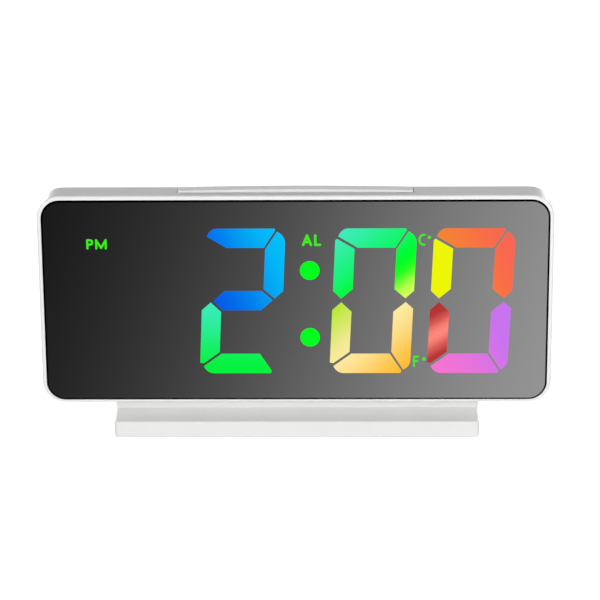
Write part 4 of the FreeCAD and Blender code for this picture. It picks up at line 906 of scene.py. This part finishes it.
# The card that the mirror shows: half its width, and the heights of its edges, in metres
CARD_HALF = 1.2
CARD_LOW = -0.6
CARD_HIGH = 1.0

# The card's brightness: the most it reaches, how its shades lean with height, and its step
CARD_MOST = 1.215
CARD_LEAN = 0.34
CARD_MIDDLE = 52 * MM
CARD_STEP = 54.4 * MM

# Width in millimetres of the sensor that the focal length goes with
SENSOR_WIDTH = 36.0


class DESKCLOCK_OT_studio(bpy.types.Operator):
    """Set the floor, the world, the lamps, the card that the mirror shows and the camera"""

    bl_idname = "desk_clock.studio"
    bl_label = "Studio"

    def execute(self, context):
        scene = context.scene
        studio = scene.desk_clock_studio
        scene.view_settings.view_transform = "Standard"
        self.make_floor(studio.floor_glow)
        self.make_card(studio.card_distance)
        self.make_world(scene, studio.ambient)
        for name, place, size, power in LAMPS:
            lamp(name, place, tuple(studio.target), size, getattr(studio, power))
        self.make_camera(scene, studio)
        return {"FINISHED"}

    def make_floor(self, glow):
        """Make a white floor that shows as white to the camera, is hidden from gloss, and keeps a soft
        shadow.
        """
        finish = Finish("floor", Base_Color=FLOOR_GREY, Roughness=1.0, Specular_IOR_Level=0.0)
        white = finish.node("ShaderNodeEmission", None, {"Strength": glow})
        both = finish.node("ShaderNodeAddShader", None, {0: finish.shader, 1: white})
        choice = finish.node("ShaderNodeMixShader", None, {0: finish.shown(), 1: finish.shader, 2: both})
        finish.join(finish.end.socket, choice)
        corners = [(across * FLOOR_HALF, along * FLOOR_HALF, 0.0)
                   for across, along in ((-1, -1), (1, -1), (1, 1), (-1, 1))]
        floor = flat_stage("floor", corners, finish.material)
        floor.visible_glossy = False

    def make_card(self, distance):
        """Make the card that only reflections see: dark to the left and pale to the right.

        Its brightness is an even S-shaped step, the most it reaches over one plus the natural
        exponent of how far a point lies before the step's middle, in widths of the step.
        """
        finish = Finish("shaded card", Base_Color=BLACK, Roughness=1.0, Specular_IOR_Level=0.0)
        place = finish.along(ACROSS) - finish.along((0.0, 0.0, 1.0)) * CARD_LEAN
        before = (CARD_MIDDLE - place) / CARD_STEP
        finish.set(Emission_Color=CARD_MOST / (before.growth() + 1.0), Emission_Strength=1.0)
        corners = [(side * CARD_HALF, -distance, height)
                   for side, height in ((-1, CARD_LOW), (1, CARD_LOW), (1, CARD_HIGH), (-1, CARD_HIGH))]
        card = flat_stage("shaded_card", corners, finish.material)
        card.visible_camera = False
        card.visible_diffuse = False
        card.visible_shadow = False
        card.visible_transmission = False

    def make_world(self, scene, ambient):
        """Make a world that is white to the camera and in gloss, and a soft light for the rest."""
        world = bpy.data.worlds.new("studio")
        scene.world = world
        world.use_nodes = True
        tree = Tree(world.node_tree)
        level = tree.node("ShaderNodeMapRange", None, {0: tree.shown(), 3: ambient, 4: 1.0})
        background = tree.node("ShaderNodeBackground", None, {"Strength": level})
        tree.node("ShaderNodeOutputWorld", None, {0: background})

    def make_camera(self, scene, studio):
        """Place the camera on a line from its target, by its heading and elevation, and roll it."""
        level = math.cos(studio.elevation)
        ahead = Vector((-math.sin(studio.heading) * level, math.cos(studio.heading) * level,
                        -math.sin(studio.elevation)))
        data = bpy.data.cameras.new("camera")
        data.lens = studio.focal_length
        data.sensor_width = SENSOR_WIDTH
        camera = bpy.data.objects.new("camera", data)
        scene.collection.objects.link(camera)
        camera.location = Vector(studio.target) - ahead * studio.distance
        camera.rotation_mode = "QUATERNION"
        camera.rotation_quaternion = ahead.to_track_quat("-Z", "Y") @ Quaternion((0.0, 0.0, 1.0), studio.roll)
        scene.camera = camera


OPERATORS = (
    DESKCLOCK_OT_housing,
    DESKCLOCK_OT_mirror,
    DESKCLOCK_OT_display,
    DESKCLOCK_OT_electronics,
    DESKCLOCK_OT_metal,
    DESKCLOCK_OT_marks,
    DESKCLOCK_OT_cells,
    DESKCLOCK_OT_pads,
    DESKCLOCK_OT_studio,
)


class DESKCLOCK_PT_panel(bpy.types.Panel):
    """List the steps that dress the clock"""

    bl_idname = "DESKCLOCK_PT_panel"
    bl_label = "Desk Clock"
    bl_space_type = "VIEW_3D"
    bl_region_type = "UI"
    bl_category = "Desk Clock"

    def draw(self, context):
        for operator in OPERATORS:
            self.layout.operator(operator.bl_idname)


GROUPS = {
    "desk_clock_face": DeskClockFace,
    "desk_clock_housing": DeskClockHousing,
    "desk_clock_trim": DeskClockTrim,
    "desk_clock_studio": DeskClockStudio,
}


def register():
    """Register every class and hang the settings on the scene."""
    for kind in (*GROUPS.values(), *OPERATORS, DESKCLOCK_PT_panel):
        bpy.utils.register_class(kind)
    for name, kind in GROUPS.items():
        setattr(bpy.types.Scene, name, PointerProperty(type=kind))


def unregister():
    """Undo what register did."""
    for name in GROUPS:
        delattr(bpy.types.Scene, name)
    for kind in (DESKCLOCK_PT_panel, *reversed(OPERATORS), *reversed(GROUPS.values())):
        bpy.utils.unregister_class(kind)


def main():
    """Dress every piece in turn."""
    register()
    bpy.ops.desk_clock.studio()
    bpy.ops.desk_clock.housing()
    bpy.ops.desk_clock.mirror()
    bpy.ops.desk_clock.display()
    bpy.ops.desk_clock.electronics()
    bpy.ops.desk_clock.metal()
    bpy.ops.desk_clock.marks()
    bpy.ops.desk_clock.cells()
    bpy.ops.desk_clock.pads()


if __name__ == "__main__":
    main()
